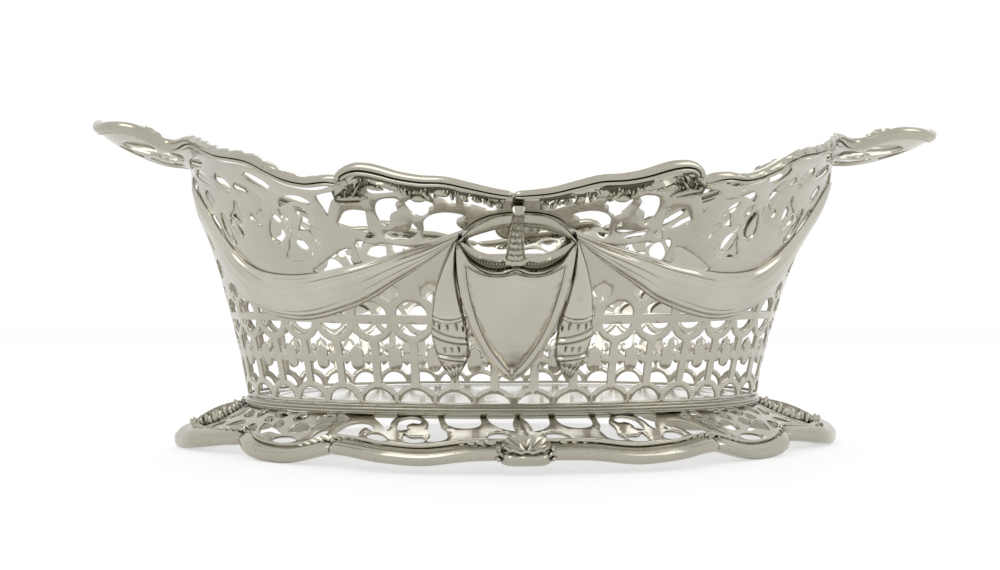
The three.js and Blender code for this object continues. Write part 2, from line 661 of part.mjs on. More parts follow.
// A frame at each point of a path: side is the level direction away from the basket
function alongPath(path, share) {
  const small = 0.002;
  const low = Math.max(share - small, 0);
  const high = Math.min(share + small, 1);
  const point = path(share);
  const along = path(high).sub(path(low)).normalize();
  const side = new THREE.Vector3(along.y, -along.x, 0).normalize();
  const up = side.clone().cross(along).normalize();
  return { point, along, side, up };
}
function roll(path, section, steps, swell = () => 1) {
  return laidBar(section, steps, (across, up, share) => {
    const frame = alongPath(path, share);
    const size = swell(share);
    return frame.point.addScaledVector(frame.side, across * size).addScaledVector(frame.up, up * size);
  });
}

// Path of the rim roll just above the sheet's edge between two pitches
const ROLL_LIFT = RIM_ROLL + GAP + BEND_ALLOWANCE;
function rimPath(start, end, lift, out) {
  return (share) => {
    const pitch = start + (end - start) * share;
    const edge = wallPoint(pitch, sheetTop(angleAt(pitch)), out);
    edge.z += lift;
    return edge;
  };
}

// Path of an end border: up the front side of the rim, round the handle and down the back side
const END_BORDER_START = 3.3;
function endBorderPath(centre) {
  const tongue = handleOutline(centre);
  const start = centre - (END_PITCH - END_BORDER_START);
  const finish = centre + (END_PITCH - END_BORDER_START);
  const neck = centre - tongue[0][0];
  const points = [];
  const steps = 12;
  for (let i = 0; i < steps; i++) {
    const pitch = start + (centre - neck - 0.35 - start) * i / (steps - 1);
    const edge = wallPoint(pitch, sheetTop(angleAt(pitch)), 0);
    points.push(new THREE.Vector3(edge.x, edge.y, edge.z + ROLL_LIFT + BEND_ALLOWANCE));
  }
  for (const [pitch, past] of tongue) {
    const edge = wallPoint(pitch, sheetTop(angleAt(pitch)) + past, 0);
    const middle = wallPoint(centre, HANDLE_ROOT + past, 0);
    const away = new THREE.Vector3(0, edge.y, 0).normalize();
    const tip = past >= HANDLE_REACH ? Math.sign(middle.x) * ROLL_LIFT : 0;
    const side = past >= HANDLE_REACH ? 0.4 : 1;
    edge.addScaledVector(away, side * ROLL_LIFT);
    points.push(new THREE.Vector3(edge.x + tip, edge.y, edge.z + 0.6));
  }
  for (let i = steps - 1; i >= 0; i--) {
    const pitch = finish + (centre + neck + 0.35 - finish) * i / (steps - 1);
    const edge = wallPoint(pitch, sheetTop(angleAt(pitch)), 0);
    points.push(new THREE.Vector3(edge.x, edge.y, edge.z + ROLL_LIFT + BEND_ALLOWANCE));
  }
  const curve = new THREE.CatmullRomCurve3(points, false, 'centripetal');
  return (share) => curve.getPointAt(share);
}

// A domed strip on the wall: its spine gives a share of length, pitch, height and half width
const FULL_SWELL_WIDTH = 4.5;
const DOME = [[-1, 0], [1, 0], [0.9, 0.45], [0.45, 0.95], [-0.45, 0.95], [-0.9, 0.45]];
function domedStrip(spine, thickness, steps, lift, centre, hand) {
  const pitchOf = through(spine.map((p) => [p[0], p[1]]));
  const heightOf = through(spine.map((p) => [p[0], p[2]]));
  const widthOf = through(spine.map((p) => [p[0], p[3]]));
  const last = spine[spine.length - 1][0];
  const stretch = 1.2 * PITCH_LENGTH;
  const section = hand > 0 ? DOME : DOME.map(([a, b]) => [-a, b]).reverse();
  return laidBar(section, steps, (across, up, share) => {
    const at = last * share;
    const small = last * 0.01;
    const run = new THREE.Vector2((pitchOf(at + small) - pitchOf(at - small)) * stretch,
      heightOf(at + small) - heightOf(at - small)).normalize();
    const width = widthOf(at) * across * hand;
    const pitch = pitchOf(at) - run.y * width / stretch;
    const height = heightOf(at) + run.x * width;
    const grow = Math.min(1, widthOf(at) / FULL_SWELL_WIDTH);
    return wallPoint(centre + hand * pitch, height, SHEET / 2 + GAP + lift + up * thickness * grow);
  });
}

// Swag: share of its length, pitch, height and half width of its middle line
const SWAG_SPINE = [[0, 1.5, 63.3, 0.9], [0.14, 2.3, 58.6, 2.6], [0.28, 3.3, 53.6, 4.6], [0.42, 4.4, 49.8, 5.8],
  [0.54, 5.4, 49.2, 6.2], [0.66, 6.4, 52.4, 5.6], [0.78, 7.2, 60, 4.6], [0.88, 7.7, 70, 3.2],
  [0.95, 8.05, 78, 2], [1, 8.3, 83.5, 0.8]];
// Husk drop, the same values
const HUSK_SPINE = [[0, 1.45, 60.2, 0.7], [0.12, 1.5, 56.5, 2.3], [0.35, 1.57, 48, 4.2], [0.55, 1.58, 40, 4.7],
  [0.75, 1.52, 33, 4.1], [0.9, 1.5, 27, 2], [1, 1.52, 23.8, 0.6]];

// Shield outline in millimetres from its middle line, and height, right half from the tip up
const SHIELD_HALF = [[0, 24.8], [2.6, 26.4], [6, 30.2], [9.6, 35.6], [12.6, 42.4], [14.6, 50], [15.4, 57],
  [15.2, 62.4], [13, 60], [9, 57.9], [4.5, 57.1]];
const SHIELD_NOTCH = [0, 57.6];
// Fluted moulding over the shield: lower edge from the corner to the middle, then its upper edge back
const MOULDING_LOW = [[15.6, 63], [13, 60.5], [9, 58.5], [4.5, 57.7], [0, 58.2]];
const MOULDING_HIGH = [[0, 61.4], [5, 61.4], [10, 62], [15, 63.8]];
// Loop over the shield: middle line in pitches and heights
const LOOP_SPINE = [[-1, -1.12, 65.9], [-0.5, -0.6, 68.5], [0, 0, 69.3], [0.5, 0.6, 68.5], [1, 1.12, 65.9]];
const FINIAL_FOOT = 61.9;
const FINIAL_TOP = 71;

// A flat plate that follows the front wall, outline in millimetres across and in height
function platedOnWall(outline, thickness, centre) {
  const mid = BEND_ALLOWANCE + thickness / 2;
  return piercedSheet([{ outline, holes: [] }], thickness, (across, height, out) => {
    const base = wallPoint(centre, height, SHEET / 2 + GAP + mid + out);
    const hand = centre === 0 ? 1 : -1;
    base.x += across * hand;
    return base;
  });
}

function shieldPlate(centre) {
  const right = SHIELD_HALF.map((p) => [...p]);
  const left = SHIELD_HALF.slice(1).map(([x, z]) => [-x, z]).reverse();
  const outline = [...right, SHIELD_NOTCH, ...left];
  return platedOnWall(outline, SHIELD_THICKNESS, centre);
}

function shieldMoulding(centre) {
  const low = MOULDING_LOW;
  const high = MOULDING_HIGH;
  const outline = [...low.slice(0, -1).map(([x, z]) => [-x, z]), ...[...low].reverse(),
    ...[...high].reverse(), ...high.slice(1).map(([x, z]) => [-x, z])];
  return platedOnWall(outline, MOULDING_THICKNESS, centre);
}

function shieldLoop(centre) {
  const pitchOf = through(LOOP_SPINE.map((p) => [p[0], p[1]]));
  const heightOf = through(LOOP_SPINE.map((p) => [p[0], p[2]]));
  const section = [[-1, 0], [1, 0], [0.7, 1], [-0.7, 1]];
  const steps = 12;
  return laidBar(section, steps, (across, up, share) => {
    const at = -1 + 2 * share;
    const height = heightOf(at) + across * LOOP_HALF_WIDTH;
    return wallPoint(centre + pitchOf(at), height, SHEET / 2 + GAP + BEND_ALLOWANCE + up * LOOP_THICKNESS);
  });
}

// The finial stands on the moulding's upper edge and crosses in front of the loop
function shieldFinial(centre) {
  const widthOf = through([[0, 1.5], [0.25, 0.9], [0.7, 0.75], [1, 0.5]]);
  const section = [[-1, 0], [1, 0], [0.6, 1], [-0.6, 1]];
  const stand = BEND_ALLOWANCE + LOOP_THICKNESS + GAP;
  return laidBar(section, 6, (across, up, share) => {
    const height = FINIAL_FOOT + (FINIAL_TOP - FINIAL_FOOT) * share;
    const base = wallPoint(centre, height, SHEET / 2 + GAP + stand + up * FINIAL_THICKNESS);
    const hand = centre === 0 ? 1 : -1;
    base.x += across * FINIAL_HALF_WIDTH * widthOf(share) * hand;
    return base;
  });
}

// Foot border section: flat underneath, rounded outside
const BORDER_SECTION = [[-0.5, 0], [0.5, 0], [0.5, 0.5], [0.22, 0.95], [-0.2, 1], [-0.5, 0.7]];
function footBorder(start, end, steps) {
  const path = (share) => {
    const angle = start + (end - start) * share;
    const point = footPlan(angle);
    point.z = footFloor(sideDegrees(angle));
    return point;
  };
  return laidBar(BORDER_SECTION, steps, (across, up, share) => {
    const angle = start + (end - start) * share;
    const point = path(share).addScaledVector(footSide(angle), across * BORDER_WIDTH);
    point.z += up * BORDER_HEIGHT;
    return point;
  });
}

// A fluted shell standing against the outside of the foot border
function footShell(hand) {
  const outline = [[-2.2, 0]];
  outline.push([2.2, 0]);
  const flutes = 7;
  for (let i = 0; i <= 2 * flutes; i++) {
    const angle = Math.PI * i / (2 * flutes);
    const reach = i % 2 ? 1 : 0.86;
    const x = SHELL_HALF_WIDTH * reach * Math.cos(angle);
    outline.push([x, 2 + (SHELL_HEIGHT - 2) * reach * Math.sin(angle)]);
  }
  const shape = new THREE.Shape(outline.map((p) => new THREE.Vector2(...p)));
  const geometry = new THREE.ExtrudeGeometry(shape, { depth: SHELL_THICKNESS, steps: 1, bevelEnabled: false });
  geometry.deleteAttribute('normal');
  geometry.deleteAttribute('uv');
  geometry.rotateX(QUARTER);
  const out = FOOT_HALF_WIDTH + BORDER_WIDTH / 2 + GAP;
  geometry.translate(0, -out, SHELL_FOOT);
  if (hand < 0) geometry.rotateZ(Math.PI);
  geometry.translate(FOOT_LEAN, 0, 0);
  return geometry;
}

// A leaf lying down the skirt over each end seam
function footLeaf(hand) {
  const widthOf = through([[0, 1.6], [0.3, 3], [0.6, 2.4], [0.85, 3], [1, 1.4]]);
  return laidBar(DOME, 8, (across, up, share) => {
    const down = 0.22 + 0.7 * share;
    const pitch = hand * END_PITCH;
    const point = skirtPoint(pitch, down, 0);
    point.y += across * widthOf(share) * hand;
    point.z += SHEET / 2 + GAP + 0.25 + up * FOOT_LEAF_THICKNESS;
    return point;
  });
}

// Leaf cluster under the rounded end of a rim scroll: a lumpy bar under the roll, outside the sheet
function rimFoliage(start, end) {
  const lumps = 4;
  return laidBar(DOME, 2 * lumps, (across, up, share) => {
    const pitch = start + (end - start) * share;
    const lump = 0.75 + 0.25 * Math.cos(share * lumps * 2 * Math.PI);
    const height = sheetTop(angleAt(pitch)) - 1.9 + across * 1.3 * lump;
    return wallPoint(pitch, height, SHEET / 2 + GAP + BEND_ALLOWANCE + up * 1.9 * lump);
  });
}

// Cast lump standing on the border beside the handle's neck
const KNOP_LIFT = RIM_ROLL + GAP + 2.45;
function handleKnop(centre, hand) {
  const tongue = handleOutline(centre);
  const [pitch, past] = hand < 0 ? tongue[1] : tongue[tongue.length - 2];
  const at = wallPoint(pitch, sheetTop(angleAt(pitch)) + past, 0);
  const away = Math.sign(at.y);
  const geometry = new THREE.IcosahedronGeometry(2, 0);
  geometry.deleteAttribute('normal');
  geometry.deleteAttribute('uv');
  geometry.scale(1.5, 1, 0.8);
  geometry.translate(at.x, at.y + away * ROLL_LIFT, at.z + KNOP_LIFT);
  return geometry;
}

const SILVER = { color: 0xc4c0b2, roughness: 0.22, metalness: 1 };
const CAST_SILVER = { color: 0xaea999, roughness: 0.3, metalness: 1 };
const MIRROR_SILVER = { color: 0xd2cfc4, roughness: 0.12, metalness: 1 };

// Turns a closed surface round when its faces point inwards, as a mirrored piece's do
function facingOut(geometry) {
  const flat = geometry.index ? geometry.toNonIndexed() : geometry;
  const position = flat.attributes.position;
  const a = new THREE.Vector3();
  const b = new THREE.Vector3();
  const c = new THREE.Vector3();
  let volume = 0;
  for (let i = 0; i < position.count; i += 3) {
    a.fromBufferAttribute(position, i);
    b.fromBufferAttribute(position, i + 1);
    c.fromBufferAttribute(position, i + 2);
    volume += a.dot(b.cross(c)) / 6;
  }
  if (volume > 0) return flat;
  for (let i = 0; i < position.count; i += 3) {
    b.fromBufferAttribute(position, i + 1);
    c.fromBufferAttribute(position, i + 2);
    position.setXYZ(i + 1, c.x, c.y, c.z);
    position.setXYZ(i + 2, b.x, b.y, b.z);
  }
  return flat;
}

const basket = new THREE.Group();
function add(name, geometry, finish) {
  const mesh = new THREE.Mesh(facingOut(geometry), new THREE.MeshStandardMaterial(finish));
  mesh.name = name;
  basket.add(mesh);
}

add('floor_plate', floorPlate(), MIRROR_SILVER);
const RING_LOW = SKIRT_TOP + GAP;
const RING_HIGH = RING_LOW + RING_MOULD_HEIGHT;
add('base_moulding', ellipseRing([[-RING_MOULD_IN, RING_LOW], [RING_MOULD_OUT * 0.7, RING_LOW],
  [RING_MOULD_OUT, RING_LOW + 0.7], [RING_MOULD_OUT * 0.8, RING_HIGH - 0.4], [RING_MOULD_OUT * 0.4, RING_HIGH],
  [-RING_MOULD_IN, RING_HIGH]]), CAST_SILVER);

add('wall_front', wallSheet(-SEAM_PITCH, SEAM_PITCH), SILVER);
add('wall_right_end', wallSheet(SEAM_PITCH, 2 * END_PITCH - SEAM_PITCH, END_PITCH), SILVER);
add('wall_back', wallSheet(2 * END_PITCH - SEAM_PITCH, 2 * END_PITCH + SEAM_PITCH), SILVER);
add('wall_left_end', wallSheet(SEAM_PITCH - 2 * END_PITCH, -SEAM_PITCH, -END_PITCH), SILVER);

const SIDES = [['front', 0], ['back', 2 * END_PITCH]];
for (const [side, centre] of SIDES) {
  const turn = centre === 0 ? 1 : -1;
  add('shield_' + side, shieldPlate(centre), SILVER);
  add('shield_moulding_' + side, shieldMoulding(centre), CAST_SILVER);
  add('shield_loop_' + side, shieldLoop(centre), CAST_SILVER);
  add('shield_finial_' + side, shieldFinial(centre), CAST_SILVER);
  for (const hand of [-1, 1]) {
    const place = side + (hand * turn > 0 ? '_right' : '_left');
    const scrollEnd = END_BORDER_START - 0.06;
    const path = rimPath(centre + hand * 0.03, centre + hand * scrollEnd, ROLL_LIFT, 0);
    const swell = through([[0, 0.55], [0.25, 0.8], [0.7, 1], [0.92, 1.1], [1, 0.8]]);
    add('rim_scroll_' + place, roll(path, roundSection(RIM_ROLL, RIM_ROLL_SIDES), 12, swell), CAST_SILVER);
    add('rim_foliage_' + place, rimFoliage(centre + hand * 1, centre + hand * 3.1), CAST_SILVER);
    add('swag_' + place, domedStrip(SWAG_SPINE, SWAG_THICKNESS, 18, SWAG_ALLOWANCE, centre, hand), SILVER);
    add('husk_' + place, domedStrip(HUSK_SPINE, HUSK_THICKNESS, 8, BEND_ALLOWANCE, centre, hand), SILVER);
    add('foot_skirt_' + place, skirtQuadrant(centre, hand), SILVER);
  }
}

const ENDS = [['left', -END_PITCH], ['right', END_PITCH]];
for (const [end, centre] of ENDS) {
  add('rim_border_' + end, roll(endBorderPath(centre), roundSection(RIM_ROLL, RIM_ROLL_SIDES), 38), CAST_SILVER);
  add('foot_leaf_' + end, footLeaf(Math.sign(centre)), CAST_SILVER);
  for (const hand of [-1, 1]) {
    const front = hand * Math.sign(centre) < 0;
    add('handle_knop_' + end + (front ? '_front' : '_back'), handleKnop(centre, hand), CAST_SILVER);
  }
}

// The foot border: a section at the middle of each side and end, and one at each corner
for (const [side, middle, hand] of [['front', 0, 1], ['back', Math.PI, -1]]) {
  const [, reach, steps] = FRONT_SECTION;
  add('foot_border_' + side, footBorder(middle - reach, middle + reach, 2 * steps), CAST_SILVER);
  add('foot_shell_' + side, footShell(hand), CAST_SILVER);
}
for (const [end, middle] of [['left', -QUARTER], ['right', QUARTER]]) {
  const [start, finish, steps] = END_SECTION;
  const reach = finish - start;
  add('foot_border_' + end, footBorder(middle - reach, middle + reach, 2 * steps), CAST_SILVER);
}
const CORNERS = [['front_right', 0, 1], ['front_left', 0, -1], ['back_left', Math.PI, 1], ['back_right', Math.PI, -1]];
for (const [corner, middle, hand] of CORNERS) {
  const [near, far, steps] = CORNER_SECTION;
  const ends = [middle + hand * near, middle + hand * far].sort((a, b) => a - b);
  add('foot_border_' + corner, footBorder(...ends, steps), CAST_SILVER);
}

basket.position.x = -END_LEAN - HANDLE_LEAN;

export default basket;
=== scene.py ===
"""Looks of a boat-shaped pierced silver basket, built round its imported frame.

Sizes are in millimetres until a mesh is made, and a plan point on the wall is (pitch, height): pitches of
the fretwork round the basket from the middle of the front, and millimetres above the table.
"""

import math
import random

import bmesh
import bpy
import numpy as np
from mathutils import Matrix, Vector, kdtree
from mathutils.geometry import delaunay_2d_cdt


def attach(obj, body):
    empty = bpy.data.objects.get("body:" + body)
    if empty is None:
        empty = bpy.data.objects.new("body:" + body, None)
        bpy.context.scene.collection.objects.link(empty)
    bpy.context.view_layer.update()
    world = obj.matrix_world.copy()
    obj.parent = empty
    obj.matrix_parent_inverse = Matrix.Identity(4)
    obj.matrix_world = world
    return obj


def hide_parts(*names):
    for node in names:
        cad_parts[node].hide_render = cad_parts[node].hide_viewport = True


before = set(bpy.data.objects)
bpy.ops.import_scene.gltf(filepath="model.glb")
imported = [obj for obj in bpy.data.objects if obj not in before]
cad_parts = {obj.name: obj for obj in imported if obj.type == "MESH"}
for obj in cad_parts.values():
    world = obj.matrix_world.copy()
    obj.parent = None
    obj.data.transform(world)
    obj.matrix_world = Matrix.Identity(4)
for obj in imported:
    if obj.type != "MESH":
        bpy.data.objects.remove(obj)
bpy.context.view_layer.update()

MM = 0.001
BODY = "root"

# Driving sizes of the frame: plan of the base ring, the rim and the foot
BASE_HALF_LENGTH = 83.5
BASE_HALF_WIDTH = 58
RIM_HALF_LENGTH = 103.3
RIM_HALF_WIDTH = 102
FOOT_HALF_LENGTH = 106.8
FOOT_HALF_WIDTH = 77
HANDLE_REACH = 32.6
HANDLE_HALF_WIDTH = 21.5
END_LEAN = 2.8
HANDLE_LEAN = 3.1
FOOT_LEAN = 2.4
RIM_TILT = 1.6
FRAME_SHIFT = END_LEAN + HANDLE_LEAN

# Heights above the table and thicknesses: the frame's own, but for the saddle, which is a millimetre higher,
# and for the handle, which the photograph shows higher and level at its root
SKIRT_TOP = 14.3
WALL_FOOT = 17.2
RIM_DIP = 71.8
RIM_SCROLL_PEAK = 78.6
RIM_SADDLE = 75.6
HANDLE_ROOT = 94
HANDLE_RISE = 6
HANDLE_DISH = 5.5
HANDLE_BEND = 8
SHEET = 0.9
RIM_ROLL = 1.8
BORDER_WIDTH = 4.8
BORDER_HEIGHT = 3.9
PITCHES = 40
END_PITCH = PITCHES / 4
SEAM_PITCH = 3.5


def unit(vectors):
    """Vectors made one long."""
    return vectors / np.linalg.norm(vectors, axis=-1, keepdims=True)


def square_to(along, vectors):
    """Vectors made one long after what they have of the directions along is taken away."""
    return unit(vectors - along * (vectors * along).sum(-1, keepdims=True))


def lengths_along(path):
    """Length along a path from its start to each of its points."""
    return np.concatenate([[0], np.cumsum(np.linalg.norm(np.diff(path, axis=0), axis=-1))])


def taken_at(wanted, at, values):
    """Rows of values, known at the lengths at, for the wanted lengths."""
    return np.stack([np.interp(wanted, at, column) for column in np.asarray(values).T], 1)


def through(points):
    """A smooth curve y(x) through given points, with slopes from their neighbours."""
    x, y = np.array([p[:2] for p in points], float).T
    run = np.diff(x)
    rise = np.diff(y) / run
    inner = (rise[1:] * run[:-1] + rise[:-1] * run[1:]) / (run[:-1] + run[1:])
    slope = np.concatenate([[rise[0]], inner, [rise[-1]]])

    def value(at):
        at = np.clip(np.asarray(at, float), x[0], x[-1])
        i = np.clip(np.searchsorted(x, at, side="left") - 1, 0, len(x) - 2)
        t = (at - x[i]) / run[i]
        back = 1 - t
        return ((1 + 2 * t) * back ** 2 * y[i] + t * back ** 2 * run[i] * slope[i]
                + t ** 2 * (3 - 2 * t) * y[i + 1] - t ** 2 * back * run[i] * slope[i + 1])
    return value


# Angle round the base ellipse by length along it
TURNS = np.linspace(0, 2 * math.pi, 3601)
TURN_MIDDLES = (TURNS[:-1] + TURNS[1:]) / 2
SPEEDS = np.hypot(BASE_HALF_LENGTH * np.cos(TURN_MIDDLES), BASE_HALF_WIDTH * np.sin(TURN_MIDDLES))
LENGTHS = np.concatenate([[0], np.cumsum(SPEEDS)]) * (TURNS[1] - TURNS[0])
PITCH = LENGTHS[-1] / PITCHES


def angle_at(pitch):
    pitch = np.asarray(pitch, float)
    turns = np.floor(pitch / PITCHES)
    return turns * 2 * math.pi + np.interp((pitch / PITCHES - turns) * LENGTHS[-1], LENGTHS, TURNS)


def pitch_at(angle):
    turns = np.floor(np.asarray(angle, float) / (2 * math.pi))
    return (turns + np.interp(angle - turns * 2 * math.pi, TURNS, LENGTHS) / LENGTHS[-1]) * PITCHES


def side_degrees(angle):
    """Degrees from the nearest middle of a long side, 90 at the ends."""
    return np.degrees(np.arctan2(np.abs(np.sin(angle)), np.abs(np.cos(angle))))


def from_side(pitch):
    """Pitches from the nearest middle of a long side."""
    return np.abs((np.asarray(pitch, float) + END_PITCH) % (2 * END_PITCH) - END_PITCH)


sheet_top_at = through([
    (0, RIM_DIP + 0.5), (4, RIM_DIP + 1), (11, RIM_DIP + 3.3), (18, RIM_SCROLL_PEAK - 1.8),
    (24, RIM_SCROLL_PEAK + 0.3), (32, RIM_SADDLE), (38, RIM_SADDLE + 2),
    (46, RIM_SADDLE + 8), (56, HANDLE_ROOT - 6.6), (70, HANDLE_ROOT), (76, HANDLE_ROOT + 1.2),
    (81, HANDLE_ROOT + 2.1), (90, HANDLE_ROOT + 2)])
front_flare = through([(0, 0), (0.167, 0.045), (0.45, 0.2), (0.667, 0.386), (0.817, 0.568), (0.92, 0.78),
                       (1, 1)])
end_flare = through([(0, 0), (0.13, 0.09), (0.3, 0.25), (0.52, 0.5), (0.616, 0.64), (0.773, 0.92),
                     (0.87, 0.99), (1, 1)])


def sheet_top(pitch):
    return sheet_top_at(side_degrees(angle_at(pitch)))


# The bend between wall and handle: full where the wall is this near the middle of the end, and gone this much
# further out
BEND_HALF_WIDTH = 22
BEND_FADE = 12
DISH_LEVEL = 0.85


def wall_middle(pitch, height):
    """The middle of the wall sheet. Above the sheet's top edge it runs out as the handle."""
    pitch, height = np.broadcast_arrays(np.asarray(pitch, float), np.asarray(height, float))
    angle = angle_at(pitch)
    top = sheet_top(pitch)
    off_middle = np.abs(np.cos(angle) * RIM_HALF_WIDTH)
    bend = HANDLE_BEND * np.clip((BEND_HALF_WIDTH + BEND_FADE - off_middle) / BEND_FADE, 0.001, 1)
    above = height - top
    past = np.where(np.abs(above) < bend, (above + bend) ** 2 / (4 * bend), np.maximum(above, 0))
    share = (height - past - WALL_FOOT) / (top - WALL_FOOT)
    end = np.sin(angle) ** 2
    flare = (1 - end) * front_flare(share) + end * end_flare(share)
    x = np.sin(angle) * (BASE_HALF_LENGTH + (RIM_HALF_LENGTH - BASE_HALF_LENGTH) * flare)
    y = -np.cos(angle) * (BASE_HALF_WIDTH + (RIM_HALF_WIDTH - BASE_HALF_WIDTH) * flare)
    reach = past / HANDLE_REACH
    dish = (y / HANDLE_HALF_WIDTH) ** 2 - DISH_LEVEL
    rise = HANDLE_RISE * (3 * reach ** 2 - 2 * reach ** 3)
    rise += HANDLE_DISH * dish * np.maximum(4 * reach * (1 - reach), 0) ** 0.6
    tilt = RIM_TILT * np.sin(angle) * np.maximum(share, 0) ** 2 * np.maximum(1 - reach, 0)
    x = x + np.sign(x) * past + HANDLE_LEAN * reach + END_LEAN * flare ** 2 * end - FRAME_SHIFT
    return np.stack([x, y, height - past + rise + tilt], -1)


def moved_out(middle, first, second, out, small, turn):
    """A point of a surface moved along its normal."""
    along = middle(first + small, second) - middle(first - small, second)
    across = middle(first, second + small) - middle(first, second - small)
    normal = unit(np.cross(along, across) * turn)
    return middle(first, second) + normal * np.asarray(out, float)[..., None]


def wall(pitch, height, out=0.0):
    """A place on the wall, so far out from the middle of its sheet."""
    return moved_out(wall_middle, pitch, height, out, 0.02, 1)


foot_length = through([(0, 0), (20, 0.28), (27, 0.375), (38, 0.51), (50, 0.67), (58, 0.745), (66, 0.785),
                       (78, 0.93), (90, 1)])
foot_width = through([(0, 1), (20, 0.965), (27, 0.915), (38, 0.75), (50, 0.585), (58, 0.49), (66, 0.36),
                      (78, 0.18), (90, 0)])
foot_floor_at = through([(0, 3.9), (11, 3.7), (20, 2.3), (27, 2.8), (38, 3.6), (47, 0.2), (50, 0), (53, 0.2),
                         (66, 3.2), (78, 1.2), (87, 0), (90, 0)])


def foot_floor(angle):
    """Lowest height of the foot border."""
    return np.maximum(foot_floor_at(side_degrees(angle)), 0)


def foot_plan(angle, out=0.0):
    """Middle line of the foot border in plan, moved level away from the basket."""
    def middle(at):
        side = side_degrees(at)
        x = np.sign(np.sin(at)) * FOOT_HALF_LENGTH * foot_length(side) + FOOT_LEAN - FRAME_SHIFT
        return np.stack([x, -np.sign(np.cos(at)) * FOOT_HALF_WIDTH * foot_width(side), 0 * at], -1)
    small = 0.01
    along = middle(angle + small) - middle(angle - small)
    side = unit(np.stack([along[..., 1], -along[..., 0], 0 * angle], -1))
    return middle(angle) + side * np.asarray(out, float)[..., None]


SKIRT_GAP = 0.85
SKIRT_EDGE_HEIGHT = BORDER_HEIGHT + SKIRT_GAP + SHEET / 2
SKIRT_INSET = 0.5


def skirt_middle(pitch, share):
    """The middle of the foot skirt: share 0 under the base ring, share 1 on the foot border."""
    pitch, share = np.broadcast_arrays(np.asarray(pitch, float), np.asarray(share, float))
    angle = angle_at(pitch)
    top = np.stack([np.sin(angle) * (BASE_HALF_LENGTH - SKIRT_INSET) - FRAME_SHIFT,
                    -np.cos(angle) * (BASE_HALF_WIDTH - SKIRT_INSET)], -1)
    edge = foot_plan(angle, -0.1 * BORDER_WIDTH)[..., :2]
    edge_height = foot_floor(angle) + SKIRT_EDGE_HEIGHT
    fall = 1 - np.maximum(1 - share, 0) ** 1.35
    top_height = SKIRT_TOP - SHEET / 2
    plan = top + (edge - top) * share[..., None]
    return np.concatenate([plan, (top_height + (edge_height - top_height) * fall)[..., None]], -1)


def skirt(pitch, share, out=0.0):
    """A place on the skirt, so far out from the middle of its sheet."""
    return moved_out(skirt_middle, pitch, share, out, 0.01, -1)


# Making of meshes


def new_object(name, data):
    made = bpy.data.objects.new(name, data)
    bpy.context.scene.collection.objects.link(made)
    return made


def new_mesh(name, points, faces, edges=(), **attributes):
    """A mesh with a value or a vector at each point for every named attribute."""
    mesh = bpy.data.meshes.new(name)
    mesh.from_pydata(np.asarray(points).tolist(), list(edges), [list(map(int, face)) for face in faces])
    for key, values in attributes.items():
        values = np.asarray(values, np.float32)
        kind, field = ("FLOAT_VECTOR", "vector") if values.ndim > 1 else ("FLOAT", "value")
        mesh.attributes.new(key, kind, "POINT").data.foreach_set(field, values.ravel())
    return mesh


def piece(name, shape, material, sharp=38):
    """The visible piece for the node of its name, from its points in millimetres, its faces and, where it has
    them, how far each point is darkened with painted shade in creases and grooves, from 0 to 1."""
    points, faces, *dark = shape
    attributes = {"dark": dark[0]} if dark else {}
    finished(name, new_mesh(name, np.asarray(points) * MM, faces, **attributes), material, sharp)


def finished(node, mesh, material, sharp=38):
    """Makes a mesh a visible piece, which stands for a node and moves with the basket."""
    mesh.materials.clear()
    mesh.materials.append(material)
    mesh.shade_smooth()
    mesh.set_sharp_from_angle(angle=math.radians(sharp))
    made = new_object(node + "_silverwork", mesh)
    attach(made, BODY)
    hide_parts(node)


def rounded(points, step, closed=True):
    """A smooth curve through points, in about equal steps. A point with a third value is a corner."""
    given = np.array([p[:2] for p in points for _ in range(2 if len(p) > 2 else 1)], float)
    count = len(given)
    made = []
    for i in range(count if closed else count - 1):
        a, b = given[i], given[(i + 1) % count]
        length = np.linalg.norm(b - a)
        if length < 1e-9:
            continue
        before = given[i - 1] if closed or i > 0 else a
        after = given[(i + 2) % count] if closed or i + 2 < count else b
        start = unit(b - (before if np.linalg.norm(a - before) > 1e-9 else a)) * length
        finish = unit((after if np.linalg.norm(b - after) > 1e-9 else b) - a) * length
        steps = max(int(round(length / step)), 1)
        for t in np.arange(steps) / steps:
            made.append((1 + 2 * t) * (1 - t) ** 2 * a + t * (1 - t) ** 2 * start + t * t * (3 - 2 * t) * b
                        - t * t * (1 - t) * finish)
    if not closed:
        made.append(given[-1])
    return np.array(made)


def inside(points, loops):
    """Which points lie inside an odd number of closed loops."""
    starts = np.concatenate(loops)
    ends = np.concatenate([np.roll(loop, -1, 0) for loop in loops])
    odd = np.zeros(len(points), bool)
    for first in range(0, len(points), 2000):
        x, y = points[first:first + 2000, 0, None], points[first:first + 2000, 1, None]
        crosses = (starts[:, 1] > y) != (ends[:, 1] > y)
        fall = np.where(ends[:, 1] == starts[:, 1], 1, ends[:, 1] - starts[:, 1])
        at = starts[:, 0] + (y - starts[:, 1]) / fall * (ends[:, 0] - starts[:, 0])
        odd[first:first + 2000] = (crosses & (x < at)).sum(1) % 2 == 1
    return odd


def edge_distance(points, loops):
    """Distance of each point from the nearest point of the loops."""
    edge = np.concatenate(loops)
    tree = kdtree.KDTree(len(edge))
    for i, (x, y) in enumerate(edge):
        tree.insert((x, y, 0), i)
    tree.balance()
    return np.array([tree.find((x, y, 0))[2] for x, y in points])


